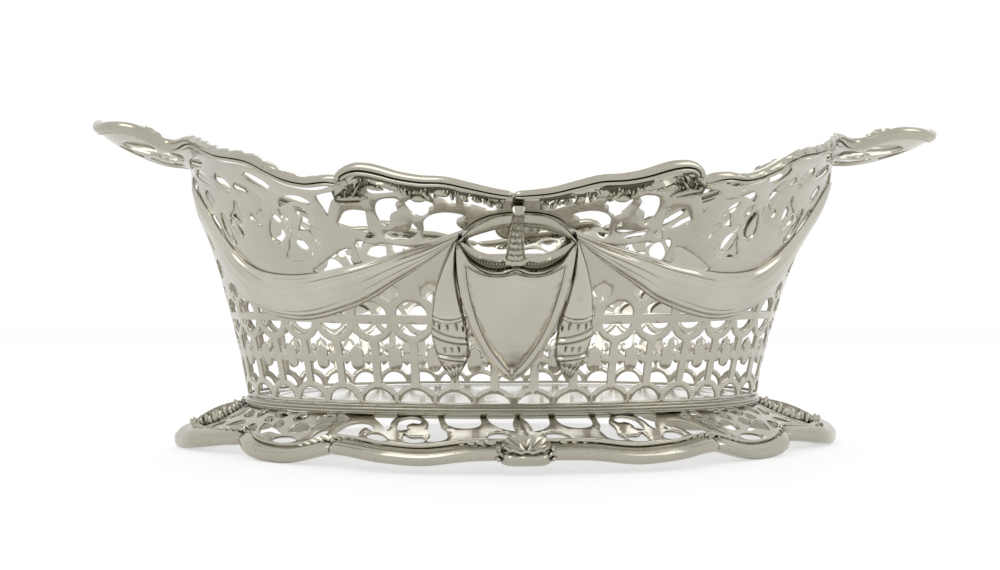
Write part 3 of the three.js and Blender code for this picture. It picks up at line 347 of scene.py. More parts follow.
def drawn(outlines, holes, step, lines=()):
    """Triangles of flat outlines less their holes, with even points inside and edges along the lines."""
    loops = list(outlines) + list(holes)

    def kept(points):
        whole = np.zeros(len(points), bool)
        for loop in outlines:
            whole |= inside(points, [loop])
        for loop in holes:
            near = np.all((points >= loop.min(0) - 1) & (points <= loop.max(0) + 1), axis=1)
            whole[near] &= ~inside(points[near], [loop])
        return whole
    ends = np.concatenate(outlines)
    low, high = ends.min(0), ends.max(0)
    rows = np.arange(low[1], high[1], step * 0.866)
    lattice = np.array([(x + (i % 2) * step / 2, y) for i, y in enumerate(rows)
                        for x in np.arange(low[0], high[0], step)])
    lattice = lattice[kept(lattice)]
    lattice = lattice[edge_distance(lattice, loops + list(lines)) > 0.6 * step]
    points = np.concatenate(loops + list(lines) + [lattice])
    edges, first = [], 0
    for line, last_edge in [(loop, 0) for loop in loops] + [(line, 1) for line in lines]:
        count = len(line)
        edges += [(first + i, first + (i + 1) % count) for i in range(count - last_edge)]
        first += count
    made = delaunay_2d_cdt([Vector(p) for p in points], edges, [], 0, 1e-6)
    points = np.array([tuple(p) for p in made[0]])
    faces = np.array(made[2])
    corner = points[faces]
    one, two = corner[:, 1] - corner[:, 0], corner[:, 2] - corner[:, 0]
    area = one[:, 0] * two[:, 1] - one[:, 1] * two[:, 0]
    faces[area < 0] = faces[area < 0][:, ::-1]
    faces = faces[(np.abs(area) > 1e-6) & kept(corner.mean(1))]
    used = np.unique(faces)
    place = np.zeros(len(points), int)
    place[used] = np.arange(len(used))
    return points[used], place[faces]


def solid(points, faces, lay, front, back, chamfer, open_edge=None):
    """Points and faces of a flat shape laid on a surface with two faces, their edges broken by a chamfer.
    Edges for which open_edge(first, second) is true get no side, so that a neighbour can be welded on."""
    front = np.broadcast_to(front, len(points)).astype(float)
    back = np.broadcast_to(back, len(points)).astype(float)
    directed = set()
    for a, b, c in faces:
        directed.update(((a, b), (b, c), (c, a)))
    border = [(a, b) for a, b in directed if (b, a) not in directed]
    normal = np.zeros_like(points)
    sided = []
    for a, b in border:
        if open_edge is not None and open_edge(points[a], points[b]):
            continue
        sided.append((a, b))
        run = points[b] - points[a]
        away = np.array([run[1], -run[0]]) / max(np.hypot(*run), 1e-9)
        normal[a] += away
        normal[b] += away
    if open_edge is not None:
        for a, b in border:
            if open_edge(points[a], points[b]):
                line = (points[b] - points[a]) / np.linalg.norm(points[b] - points[a])
                for i in (a, b):
                    normal[i] = line * np.dot(line, normal[i])
    size = np.linalg.norm(normal, axis=1, keepdims=True)
    normal = normal / np.maximum(size, 1e-9)
    used = sorted({i for edge in sided for i in edge})
    at = {i: k for k, i in enumerate(used)}
    inner = points - normal * chamfer
    count, ring = len(points), len(used)
    laid = np.concatenate([lay(inner, front), lay(points[used], front[used] - chamfer),
                           lay(points[used], back[used] + chamfer), lay(inner, back)])
    low = count + 2 * ring
    made = [tuple(face) for face in faces] + [(a + low, c + low, b + low) for a, b, c in faces]
    for a, b in sided:
        upper_a, upper_b = count + at[a], count + at[b]
        lower_a, lower_b = upper_a + ring, upper_b + ring
        made += [(b, a, upper_a, upper_b), (upper_b, upper_a, lower_a, lower_b),
                 (lower_b, lower_a, low + a, low + b)]
    return laid, made


def swept(path, profile, size, side, up):
    """Points and faces of a section swept along a path, its ends closed."""
    profile = np.asarray(profile, float)
    size = np.broadcast_to(size, len(path))
    across = profile[:, 0][None, :, None] * size[:, None, None] * side[:, None, :]
    upward = profile[:, 1][None, :, None] * size[:, None, None] * up[:, None, :]
    points = (path[:, None, :] + across + upward).reshape(-1, 3)
    return points, tube_faces(len(path), len(profile))


def tube_faces(rows, sides):
    """Faces of a closed tube between rows of points, with its two ends."""
    faces = [(i * sides + j, i * sides + k, (i + 1) * sides + k, (i + 1) * sides + j)
             for i in range(rows - 1) for j in range(sides) for k in [(j + 1) % sides]]
    last = (rows - 1) * sides
    return faces + [tuple(range(sides - 1, -1, -1)), tuple(range(last, last + sides))]


def joined(parts):
    """Several (points, faces) as one."""
    points, faces, first = [], [], 0
    for some, these in parts:
        points.append(np.asarray(some))
        faces += [tuple(i + first for i in face) for face in these]
        first += len(some)
    return np.concatenate(points), faces


def facing_out(points, faces):
    """Turns every face round when the closed surface is inside out."""
    points = np.asarray(points)
    fans = np.array([(face[0], a, b) for face in faces for a, b in zip(face[1:], face[2:])])
    first, second, third = (points[fans[:, k]] for k in range(3))
    volume = (first * np.cross(second, third)).sum()
    return points, faces if volume > 0 else [face[::-1] for face in faces]


# Finishes


def adder(tree):
    """Gives the way to add nodes to a tree: their kind, their inputs' values or sources, and settings."""
    def add(kind, inputs=(), **settings):
        node = tree.nodes.new(kind)
        for key, value in settings.items():
            setattr(node, key, value)
        for socket, value in dict(inputs).items():
            target = node.inputs[socket]
            if hasattr(value, "links"):
                tree.links.new(value, target)
            else:
                target.default_value = value
        return node
    return add


SHEET_COLOUR = (0.50, 0.475, 0.405)
CAST_COLOUR = (0.44, 0.42, 0.35)
SHIELD_COLOUR = (0.54, 0.515, 0.445)
MIRROR_COLOUR = (0.74, 0.725, 0.67)
# Colour of the painted shade and tarnish in hollows and creases, and of the pits of cast silver
SHADE_AND_TARNISH = (0.055, 0.045, 0.03)
# Reach of the ambient occlusion behind the painted shade, and the share of openness over which it fades in
HOLLOW_REACH = 0.002
HOLLOW_SPAN = 0.42
BUMP_HEIGHT = 0.0006
# Places of the colour sockets of a mix node
FIRST_COLOUR, SECOND_COLOUR, MIXED_COLOUR = 6, 7, 2


def silver(name, colour, roughness, unshaded_openness, wave, pits=0.0):
    """Worn polished silver: uneven tone, darker in hollows with painted shade and tarnish, with fine wiping
    marks and a hand-beaten wave. Its fourth setting is the share of open surroundings over which no painted
    shade or tarnish is left."""
    material = bpy.data.materials.new(name)
    material.use_nodes = True
    material.node_tree.nodes.clear()
    add = adder(material.node_tree)
    place = add("ShaderNodeTexCoord").outputs["Object"]

    def noise(scale, detail, stretch=(1, 1, 1)):
        mapping = add("ShaderNodeMapping", {"Vector": place, "Scale": stretch})
        cloud = add("ShaderNodeTexNoise", {"Scale": scale, "Detail": detail, "Vector": mapping.outputs[0]})
        return cloud.outputs["Fac"]

    def ranged(value, low, high, to_low, to_high):
        return add("ShaderNodeMapRange", {"Value": value, "From Min": low, "From Max": high, "To Min": to_low,
                                          "To Max": to_high}).outputs["Result"]

    def mixed(share, first, second):
        return add("ShaderNodeMix", {0: share, FIRST_COLOUR: first, SECOND_COLOUR: (*second, 1)},
                   data_type="RGBA").outputs[MIXED_COLOUR]

    toned = mixed(ranged(noise(55, 3), 0.35, 0.7, 0, 1), (*colour, 1), [0.9 * c for c in colour])
    # Painted shade and tarnish: hollows found by ambient occlusion, and points given a dark attribute, turn
    # dark
    hollow = add("ShaderNodeAmbientOcclusion", {"Distance": HOLLOW_REACH}, samples=8)
    shaded = ranged(hollow.outputs["AO"], unshaded_openness - HOLLOW_SPAN, unshaded_openness, 0.85, 0)
    painted_shade = add("ShaderNodeAttribute", attribute_name="dark")
    shade_and_tarnish_share = add("ShaderNodeMath", {0: shaded, 1: painted_shade.outputs["Fac"]}, operation="MAXIMUM")
    specks = ranged(noise(1400, 2), 0.66, 0.74, 0, pits)
    final = mixed(specks, mixed(shade_and_tarnish_share.outputs[0], toned, SHADE_AND_TARNISH), SHADE_AND_TARNISH)
    wiped = ranged(noise(600, 2, (0.15, 0.15, 1)), 0.3, 0.8, roughness * 0.8, roughness * 1.35)
    height = add("ShaderNodeMath", {0: noise(140, 2), 1: wave, 2: ranged(noise(2600, 2), 0, 1, 0, 0.012)},
                 operation="MULTIPLY_ADD")
    bump = add("ShaderNodeBump", {"Strength": 1, "Distance": BUMP_HEIGHT, "Height": height.outputs[0]})
    shader = add("ShaderNodeBsdfPrincipled", {"Metallic": 1, "Base Color": final, "Roughness": wiped,
                                              "Normal": bump.outputs[0]})
    add("ShaderNodeOutputMaterial", {"Surface": shader.outputs[0]})
    return material


pierced_silver = silver("pierced sheet silver", SHEET_COLOUR, 0.19, 0.38, wave=0.1)
polished_silver = silver("polished sheet silver", SHIELD_COLOUR, 0.16, 0.34, wave=0.12)
cast_silver = silver("cast silver", CAST_COLOUR, 0.17, 0.48, wave=0.2, pits=0.5)
mirror_silver = silver("mirror bright silver", MIRROR_COLOUR, 0.1, 0.5, wave=0.06)


# Node trees for what repeats


def node_group(name, inputs):
    """A geometry node group with named inputs. Gives those, and the ways to add nodes and to end the tree."""
    tree = bpy.data.node_groups.new(name, "GeometryNodeTree")
    tree.interface.new_socket("Geometry", in_out="OUTPUT", socket_type="NodeSocketGeometry")
    tree.interface.new_socket("Geometry", in_out="INPUT", socket_type="NodeSocketGeometry")
    for label, kind in inputs.items():
        tree.interface.new_socket(label, in_out="INPUT", socket_type="NodeSocket" + kind)
    add = adder(tree)
    given = add("NodeGroupInput").outputs

    def close(geometry):
        real = add("GeometryNodeRealizeInstances", {"Geometry": geometry})
        painted = add("GeometryNodeSetMaterial", {"Geometry": real.outputs[0], "Material": given["Finish"]})
        add("NodeGroupOutput", {0: painted.outputs[0]})
        return tree
    return given, add, close


def mesh_of_tree(name, tree, values):
    """The plain mesh that a node group makes with these inputs."""
    holder = new_object(name, bpy.data.meshes.new(name))
    modifier = holder.modifiers.new("made", "NODES")
    modifier.node_group = tree
    sockets = {item.name: item.identifier for item in tree.interface.items_tree if item.in_out == "INPUT"}
    for label, value in values.items():
        modifier[sockets[label]] = value
    bpy.context.view_layer.update()
    graph = bpy.context.evaluated_depsgraph_get()
    made = bpy.data.meshes.new_from_object(holder.evaluated_get(graph))
    holder.modifiers.remove(modifier)
    bpy.data.objects.remove(holder)
    return made


# The lower fretwork: one tile laid round the wall by its node group

FRET_SHIFT = -0.08
JOIN_HEIGHT = 41.7
ROW_LIFT = 1.5
GUIDE_START = -17.5
GUIDE_PITCHES = 42
GUIDE_LOW = 16
GUIDE_HIGH = 44
GUIDE_STEPS = 12
row_lift_round = through([(0, 0), (2, 0.06), (4, 0.3), (6, 0.75), (8, 1), (10, 1)])
MIDDLE_DROP = 1.3
drop_up = through([(16, 0), (18, 0.2), (22, 1), (25, 1), (29, 0.3), (34, 0), (44, 0)])
row_lift_up = through([(17, 0), (24, 0.25), (34, 0.7), (41, 1), (50, 1), (58, 0.5), (66, 0)])
DROP_REACH = 2


def row_climb(pitch, height):
    """How far the rows of the fretwork have climbed at a place."""
    return ROW_LIFT * row_lift_round(from_side(pitch)) * row_lift_up(height)


def fret_wall(pitch, height, out=0.0):
    """The wall as the fretwork was drawn on it: its rows climb a little towards the ends, and its arches drop
    in the middle of a long side."""
    drop = MIDDLE_DROP * np.exp(-(from_side(pitch) / DROP_REACH) ** 2) * drop_up(height)
    return wall(pitch, height + (row_climb(pitch, height) - drop), out)


def guide_surface():
    """The wall up to the rings as a fine grid, with pitch and height as its UV map."""
    columns = GUIDE_PITCHES * GUIDE_STEPS + 1
    rows = GUIDE_HIGH - GUIDE_LOW + 1
    u, v = np.meshgrid(np.linspace(0, 1, columns), np.linspace(0, 1, rows))
    pitch = GUIDE_START + GUIDE_PITCHES * u
    height = GUIDE_LOW + (GUIDE_HIGH - GUIDE_LOW) * v
    points = fret_wall(pitch, height).reshape(-1, 3)
    way_out = fret_wall(pitch, height, 1).reshape(-1, 3) - points
    faces = [(i * columns + j, i * columns + j + 1, (i + 1) * columns + j + 1, (i + 1) * columns + j)
             for i in range(rows - 1) for j in range(columns - 1)]
    mesh = new_mesh("wall_guide", points * MM, faces, way_out=way_out)
    layer = mesh.uv_layers.new(name="UVMap")
    corners = np.array([loop.vertex_index for loop in mesh.loops])
    layer.data.foreach_set("uv", np.stack([u.ravel()[corners], v.ravel()[corners]], 1).ravel())
    return new_object("wall_guide", mesh)


def fretwork_tree():
    """Repeats a flat tile, drawn in pitches and millimetres, and lays it on the guide surface."""
    given, add, close = node_group("fretwork rows", {
        "Tile": "Object", "Wall guide": "Object", "First pitch": "Float", "Tiles": "Int",
        "Weld distance": "Float", "Finish": "Material"})
    start = add("ShaderNodeCombineXYZ", {"X": given["First pitch"]})
    line = add("GeometryNodeMeshLine", {"Count": given["Tiles"], "Start Location": start.outputs[0],
                                        "Offset": (1, 0, 0)})
    tile = add("GeometryNodeObjectInfo", {"Object": given["Tile"]}).outputs["Geometry"]
    row = add("GeometryNodeInstanceOnPoints", {"Points": line.outputs[0], "Instance": tile})
    real = add("GeometryNodeRealizeInstances", {"Geometry": row.outputs[0]})
    place = add("ShaderNodeSeparateXYZ", {0: add("GeometryNodeInputPosition").outputs[0]}).outputs
    across = add("ShaderNodeMapRange", {"Value": place["X"], "From Min": GUIDE_START,
                                        "From Max": GUIDE_START + GUIDE_PITCHES})
    upward = add("ShaderNodeMapRange", {"Value": place["Y"], "From Min": GUIDE_LOW, "From Max": GUIDE_HIGH})
    at = add("ShaderNodeCombineXYZ", {"X": across.outputs[0], "Y": upward.outputs[0]})
    guide = add("GeometryNodeObjectInfo", {"Object": given["Wall guide"]}).outputs["Geometry"]

    def attribute(name):
        return add("GeometryNodeInputNamedAttribute", {"Name": name}, data_type="FLOAT_VECTOR").outputs[0]

    def sampled(value):
        return add("GeometryNodeSampleUVSurface", {"Mesh": guide, "Value": value, "Sample UV": at.outputs[0],
                                                   "Source UV Map": attribute("UVMap")},
                   data_type="FLOAT_VECTOR").outputs[0]
    middle = sampled(add("GeometryNodeInputPosition").outputs[0])
    out_by = add("ShaderNodeMath", {0: place["Z"], 1: MM}, operation="MULTIPLY")
    moved = add("ShaderNodeVectorMath", {0: sampled(attribute("way_out")), "Scale": out_by.outputs[0]},
                operation="SCALE")
    final = add("ShaderNodeVectorMath", {0: middle, 1: moved.outputs[0]}, operation="ADD")
    laid = add("GeometryNodeSetPosition", {"Geometry": real.outputs[0], "Position": final.outputs[0]})
    welded = add("GeometryNodeMergeByDistance", {"Geometry": laid.outputs[0],
                                                 "Distance": given["Weld distance"]})
    return close(welded.outputs[0])


# Sizes of the lower fretwork, heights at its centres
ARCH_CENTRE = 16.9
ARCH_INNER = 4.8
ARCH_OUTER = 6.65
ARCH_FOOT = 18.1
BAR_HALF = 1.2
CROSS_CENTRE = 30.4
CROSS_ARM = 1.05
CROSS_LOBE = 1.95
CROSS_REACH = 1.35
RING_INNER = 4.75
RING_OUTER = 6.75
BAND_HALF = 1.3
RING_SPREAD = 1.07
CHAMFER = 0.13
JOIN_STEP = 0.25
# Edge of an arm of a cross, from its bar to its lobe: how far from the bar and how far off the arm's edge
ARM_EDGE = [(0, 0), (0.5, 0.12), (0.9, 0.75), (1.5, 0.35)]
# Heights of the drawn points along a bar between its arch and its ring
BAR_HEIGHTS = (26, 29, 32, 35)
SPIKE = 0.55
TILE_STEP = 1.6


def arc(centre, radius, start, end, steps, stretch=1.0):
    """Points of an arc in millimetres; angles in degrees."""
    angle = np.radians(np.linspace(start, end, steps + 1))
    return [(centre[0] + radius * math.cos(a) / stretch, centre[1] + radius * math.sin(a)) for a in angle]


def degrees_of(side, radius):
    """The angle in degrees whose cosine is a side over a radius."""
    return math.degrees(math.acos(side / radius))


def fret_tile():
    """One tile, from the middle of a bar to the middle of the next, as a helper object in pitches and mm."""
    half = PITCH / 2
    ring = RING_SPREAD
    dip = math.degrees(math.asin(BAND_HALF / RING_INNER))
    arch_turn = math.degrees(math.asin((ARCH_FOOT - ARCH_CENTRE) / ARCH_INNER))
    left = [(-half, WALL_FOOT), (-half, ARCH_FOOT)] + arc((-half, ARCH_CENTRE), ARCH_INNER, arch_turn, 90, 9)
    left += [(-half, height) for height in BAR_HEIGHTS]
    left += arc((-half, JOIN_HEIGHT), RING_INNER, -90, -dip, 9, ring)
    left += [(-half, JOIN_HEIGHT - BAND_HALF), (-half, JOIN_HEIGHT)]
    top = [(x * PITCH, JOIN_HEIGHT) for x in (-0.25, 0, 0.25)]
    right = [(-x, y) for x, y in reversed(left)]
    foot = [(x * PITCH, WALL_FOOT) for x in (0.25, 0, -0.25)]
    bar = half - BAR_HALF
    notch, shoulder = degrees_of(half, ARCH_OUTER), degrees_of(BAR_HALF, ARCH_OUTER)
    meet, hang = degrees_of(half * ring, RING_OUTER), degrees_of(BAR_HALF * ring, RING_OUTER)
    lobe_turn = degrees_of(CROSS_REACH - CROSS_ARM + 0.45, CROSS_LOBE)

    def arm(up, side):
        edge = [(side * (bar - run), CROSS_CENTRE + up * CROSS_ARM + up * off) for run, off in ARM_EDGE]
        return edge if side > 0 else edge[::-1]
    low_lobe, high_lobe = (0, CROSS_CENTRE - CROSS_REACH), (0, CROSS_CENTRE + CROSS_REACH)
    lower = arc((-half, ARCH_CENTRE), ARCH_OUTER, shoulder, notch, 6)
    lower += arc((half, ARCH_CENTRE), ARCH_OUTER, 180 - notch, 180 - shoulder, 6)[1:]
    lower += arm(-1, 1) + arc(low_lobe, CROSS_LOBE, 90 - lobe_turn, -270 + lobe_turn, 14) + arm(-1, -1)
    upper = arc((-half, JOIN_HEIGHT), RING_OUTER, -hang, -meet, 6, ring)
    upper += arc((half, JOIN_HEIGHT), RING_OUTER, meet - 180, hang - 180, 6, ring)[1:]
    upper += arm(1, 1) + arc(high_lobe, CROSS_LOBE, lobe_turn - 90, 82, 7)
    upper += [(0, high_lobe[1] + CROSS_LOBE + SPIKE)]
    upper += arc(high_lobe, CROSS_LOBE, 98, 270 - lobe_turn, 7) + arm(1, -1)
    outline = np.array(left + top + right + foot)
    points, faces = drawn([outline], [np.array(lower), np.array(upper)], TILE_STEP)

    def flat(plan, out):
        return np.stack([plan[:, 0] / PITCH, plan[:, 1], out], 1)

    def open_edge(a, b):
        side = abs(abs(a[0]) - half) < 1e-6 and abs(a[0] - b[0]) < 1e-6
        return side or (abs(a[1] - JOIN_HEIGHT) < 1e-6 and abs(b[1] - JOIN_HEIGHT) < 1e-6)
    return new_object("fret_tile", new_mesh("fret_tile", *solid(points, faces, flat, SHEET / 2, -SHEET / 2,
                                                                CHAMFER, open_edge)))


# The upper wall: scrolls, bulbs and leaves left standing between openings

UPPER_SHIFT = -0.16
# Openings in pitches from the middle of a long side and millimetres. A third value marks a corner.
SCROLLS = [
    [(5.86, 82.4), (5.78, 82.95), (5.45, 81.2), (5.14, 78.9), (5.2, 78.3), (5.4, 78.8), (5.68, 80.6)],
    [(3.95, 74.9, 1), (3.44, 75.9, 1), (3.5, 74.8), (3.7, 73.4), (3.8, 71.8), (3.86, 70.3, 1), (3.9, 72),
     (3.95, 73.5)],
    [(3.34, 71.3), (3.11, 71, 1), (3.13, 68.5), (3.14, 66.2, 1), (3.36, 66.2), (3.6, 67.2), (3.7, 67.8, 1),
     (3.6, 69.4), (3.5, 70.8)],
    [(2.74, 73.4), (2.44, 73.6), (2.33, 73.2, 1), (2.44, 72.4), (2.42, 70.9), (2.59, 70), (2.64, 68.2),
     (2.71, 67, 1), (2.82, 68.2), (2.88, 70), (2.86, 71.9)],
    [(2.23, 72.2, 1), (2.12, 73), (1.89, 72.9), (1.69, 72.1), (1.64, 71.5, 1), (1.77, 71), (1.8, 69.9),
     (1.94, 69.1, 1), (2.09, 69.9), (2.17, 71)],
    [(2.84, 65.9, 1), (2.69, 65.9), (2.44, 65.4), (2.21, 66), (2.14, 67.6, 1), (2.07, 65.6), (2.22, 64),
     (2.54, 63.3), (2.78, 64.4)],
    [(1.9, 67.8), (1.76, 69.2), (1.49, 69.8), (1.19, 69.4), (1.05, 68.9, 1), (1.24, 68), (1.22, 66.6),
     (1.1, 65.7, 1), (1.44, 64.4), (1.88, 63.1, 1), (1.96, 64.2), (1.91, 66)],
    [(1.74, 74.2, 1), (1.66, 73.6), (1.44, 72.7), (1.22, 71.5, 1), (1.22, 73.2, 1), (1.46, 74)],
    [(1.06, 73.2, 1), (0.79, 72.6), (0.56, 71.5), (0.42, 70.2, 1), (0.66, 70.3), (0.86, 71.1),
     (1.06, 71.5, 1)],
    [(2.95, 75.9), (2.84, 76.5), (2.44, 76.2), (2.1, 75.6), (2.06, 74.9), (2.44, 74.9), (2.79, 74.9),
     (2.93, 75.2)],
    [(3.44, 62.8), (3.32, 63.3), (3.1, 62.4), (2.84, 62.5), (2.44, 61.8), (1.9, 60.8, 1), (2.54, 59.4),
     (3.34, 57, 1), (3.42, 59.5)],
    [(4.6, 55.6, 1), (4.26, 57.8), (3.92, 60), (3.64, 61.4), (3.54, 61, 1), (3.64, 59), (3.6, 56.6, 1),
     (4.1, 55.4)],
    [(3.1, 65.9, 1), (2.98, 64.2, 1), (3.22, 63.9, 1)],
    [(4.4, 67.4, 1), (4.22, 66.8), (4.12, 65.3), (4.12, 63.7), (4.25, 63.4), (4.33, 65)],
    [(4.46, 70, 1), (4.52, 68.6), (4.64, 67.1, 1), (4.42, 66.9, 1), (4.36, 68.4)],
    [(4.98, 73.6, 1), (4.92, 74.9), (4.66, 75.5), (4.34, 74.9), (4.14, 73.3, 1), (4.42, 73.9), (4.72, 74.2)],
    [(5.05, 72.6, 1), (4.92, 71.4), (4.88, 69.4, 1), (5, 70.4)],
    [(4.58, 72.9, 1), (4.42, 72), (4.34, 70.6), (4.28, 68.8, 1), (4.44, 70.2), (4.54, 71.4)],
    [(5, 63.8), (4.94, 64.8), (4.8, 65.1), (4.64, 63.6), (4.56, 62), (4.5, 60.4), (4.68, 59.3), (5.02, 59.1),
     (5.22, 59.7), (5.08, 61.7)],
    [(4.92, 67.1, 1), (4.68, 67.3, 1), (4.84, 65.8, 1)],
    [(5.5, 66.5), (5.46, 68), (5.36, 70), (5.22, 71.2, 1), (5.09, 69.5), (5.04, 68), (5.09, 66), (5.22, 64.8),
     (5.36, 64), (5.48, 64.9)],
    [(5.95, 71.3), (5.86, 72.1), (5.77, 71.6, 1), (5.67, 72.2), (5.55, 73.1), (5.49, 72.5), (5.52, 71),
     (5.62, 69.4), (5.7, 68.9, 1), (5.84, 69.6)],
    [(6.36, 76.4, 1), (6.31, 74), (6.28, 71), (6.33, 69.4, 1), (6.42, 71), (6.62, 72.3, 1), (6.44, 73.6)],
    [(7, 73.1), (6.9, 72.9), (6.84, 70), (6.86, 66), (6.9, 64.4, 1), (6.99, 66), (7.04, 68.4), (7.03, 71)],
    [(7.94, 87.2), (7.5, 85.5), (7.08, 82.7), (7.14, 82.1), (7.6, 84.2), (7.98, 86.5)],
    [(8.75, 92.3), (8.1, 90.9), (7.52, 89.2), (7.6, 88.6), (8.2, 90.1), (8.78, 91.6)],
    [(6.88, 84.4), (6.6, 82.4), (6.38, 79.6), (6.45, 79), (6.7, 81.4), (6.94, 83.8)],
    [(6.2, 80.8), (5.85, 79.2), (5.6, 76.8), (5.52, 74.9), (5.6, 74.6), (5.76, 76.8), (5.99, 78.7),
     (6.26, 80.1)],
    [(7.46, 80.4), (7.29, 78.2), (7.2, 76.2), (7.28, 75.9), (7.42, 77.6), (7.54, 79.8)],
    [(6.62, 71.2), (6.45, 69), (6.37, 66.9), (6.43, 66.4), (6.56, 68), (6.68, 70.2)],
    [(7.44, 73.4), (7.28, 71), (7.24, 68), (7.4, 66.2), (7.56, 68.4), (7.6, 71.6)],
    [(7.62, 64.2), (7.5, 62), (7.56, 58.8), (7.74, 56.8, 1), (7.94, 59.4), (7.9, 62.4)],
    [(8.06, 79.6, 1), (7.9, 76.6), (7.86, 73.4), (8, 71.2), (8.2, 73), (8.24, 76.4)],
    [(8.4, 69.8), (8.14, 68.2), (8.12, 65.4), (8.34, 63.8, 1), (8.54, 65.2), (8.6, 68)],
    [(8.3, 85.6), (8.06, 83.4), (8.3, 81.8, 1), (8.62, 82), (8.86, 84), (8.66, 86)],
    [(8.96, 81, 1), (8.7, 78.6), (8.66, 75.4), (8.86, 73.2, 1), (9.04, 75.4), (9.12, 78.4)],
    [(9.04, 70.8, 1), (8.86, 68.4), (8.9, 64.6), (9.12, 62.6), (9.3, 65), (9.26, 68.4)],
    [(8.5, 60.4), (8.34, 58.8), (8.44, 55.6, 1), (8.74, 55.4), (8.86, 58), (8.74, 60.2)],
    [(9.5, 86.6), (9.26, 84), (9.4, 80.4, 1), (9.6, 82.4), (9.76, 85.4)],
    [(9.52, 77.6, 1), (9.4, 74.6), (9.5, 71.4, 1), (9.66, 74.4)],
    [(9.56, 67.6), (9.46, 64), (9.3, 60.6), (9.42, 57.6), (9.66, 59.4), (9.76, 63.4)]]
MIDDLE_LEAF = [(0, 88.6, 1), (0.14, 85.4), (0.1, 81, 1), (0, 79, 1), (-0.1, 81, 1), (-0.14, 85.4)]
MIDDLE_HUSK = [(0, 76, 1), (0.16, 72), (0.12, 68.4), (0, 66.4, 1), (-0.12, 68.4), (-0.16, 72)]
EYE = [(1.02, 63, 1), (0.86, 64.9), (0.66, 66.1), (0.48, 66.7, 1), (0.45, 64.8), (0.32, 63.4),
       (0.04, 62.8, 1), (0.04, 59.4, 1), (0.6, 59.4, 1), (0.85, 60.6)]
HANDLE_OPENINGS = [
    [(0.78, 0.12), (0.62, 0.14), (0.5, 0.3), (0.56, 0.42), (0.7, 0.36), (0.82, 0.22)],
    [(0.8, 0.46), (0.62, 0.46), (0.5, 0.62), (0.46, 0.8), (0.62, 0.76), (0.8, 0.6)],
    [(0.3, 0.16, 1), (0.2, 0.24), (0.24, 0.42), (0.32, 0.54, 1), (0.34, 0.36)],
    [(0.24, 0.88), (0.14, 0.84), (0.16, 0.68), (0.24, 0.6, 1), (0.3, 0.74)]]
HANDLE_MIDDLE = [(0, 0.1, 1), (0.1, 0.28), (0.09, 0.5), (0, 0.72, 1), (-0.09, 0.5), (-0.1, 0.28)]
TONGUE = [(1.3, 0.02), (1.08, 0.07), (0.93, 0.17), (0.89, 0.28), (0.95, 0.42), (1, 0.58), (0.9, 0.78),
          (0.62, 0.93), (0.3, 1)]
DROP_LOW = 46.6
DROP_HIGH = 51.6
# Openings are grown by this much, and by the rest where they are further round than the corner
OPENING_GROWTH = 0.18
CORNER_GROWTH = 0.22
CORNER_PITCH = 4
UPPER_STEP = 1.5
# A drop between two rings: its half outline from its middle and its foot
DROP_HALF = [(2.5, 2.2), (1.9, 3.8)]
OPENING_STEP = 0.75


def lifted(pitch, height):
    """Height on the level drawing of a place read from the photograph's own height."""
    return height - row_climb(pitch, height)


def grown_loop(loop, distance):
    """A closed loop with its points moved outwards, or inwards by a negative distance."""
    ahead = np.roll(loop, -1, 0)
    run = ahead - np.roll(loop, 1, 0)
    area = (loop[:, 0] * ahead[:, 1] - ahead[:, 0] * loop[:, 1]).sum()
    length = np.maximum(np.linalg.norm(run, axis=1, keepdims=True), 1e-9)
    return loop + np.stack([run[:, 1], -run[:, 0]], 1) / length * np.sign(area) * distance


def upper_openings(start, end):
    """Loops of the upper wall between two pitches, in millimetres along the base ring and up."""
    loops = []

    def cut(centre, hand, shape, foot=0.0, scale=1.0):
        loops.append(rounded([((centre + hand * p[0]) * PITCH, foot + p[1] * scale, *p[2:]) for p in shape],
                             OPENING_STEP))
    turn = math.degrees(math.asin(BAND_HALF / RING_INNER))
    for bar in np.arange(math.floor(start) - 0.5, end + 1):
        at = (bar + FRET_SHIFT) * PITCH
        loops.append(np.array(arc((at, JOIN_HEIGHT), RING_INNER, turn, 180 - turn, 12, RING_SPREAD)))
        side = [(x, DROP_LOW + up) for x, up in DROP_HALF]
        drop = [(0, DROP_LOW, 1), *side, (0, DROP_HIGH, 1), *[(-x, y) for x, y in side[::-1]]]
        loops.append(rounded([(at + PITCH / 2 + p[0], *p[1:]) for p in drop], OPENING_STEP))
    for centre in (-2 * END_PITCH, 0, 2 * END_PITCH):
        shift = UPPER_SHIFT if centre == 0 else -UPPER_SHIFT
        for hand in (-1, 1):
            for shape in SCROLLS + [EYE]:
                cut(centre + shift, hand, [(p[0], float(lifted(p[0], p[1])), *p[2:]) for p in shape])
    for centre in (-END_PITCH, END_PITCH):
        cut(centre, 1, MIDDLE_LEAF)
        cut(centre, 1, MIDDLE_HUSK)
        for hand in (-1, 1):
            for shape in HANDLE_OPENINGS + [HANDLE_MIDDLE][:hand > 0]:
                cut(centre, hand, shape, HANDLE_ROOT, HANDLE_REACH)
    kept = [loop for loop in loops if loop[:, 0].max() > start * PITCH and loop[:, 0].min() < end * PITCH]
    past_corner = [min(max(from_side(loop[:, 0].mean() / PITCH) - CORNER_PITCH, 0), 1) for loop in kept]
    return [grown_loop(loop, OPENING_GROWTH + CORNER_GROWTH * past) for loop, past in zip(kept, past_corner)]


def tongue_outline(centre):
    """Outline of a handle in pitches and millimetres past the rim, round from one side of its neck."""
    side = []
    for width, reach in TONGUE:
        turn = math.pi / 2 - math.asin(width * HANDLE_HALF_WIDTH / RIM_HALF_WIDTH)
        side.append((END_PITCH - float(pitch_at(turn)), reach * HANDLE_REACH))
    return [(centre - across, past) for across, past in side] + [(centre + across, past)
                                                                 for across, past in reversed(side)]


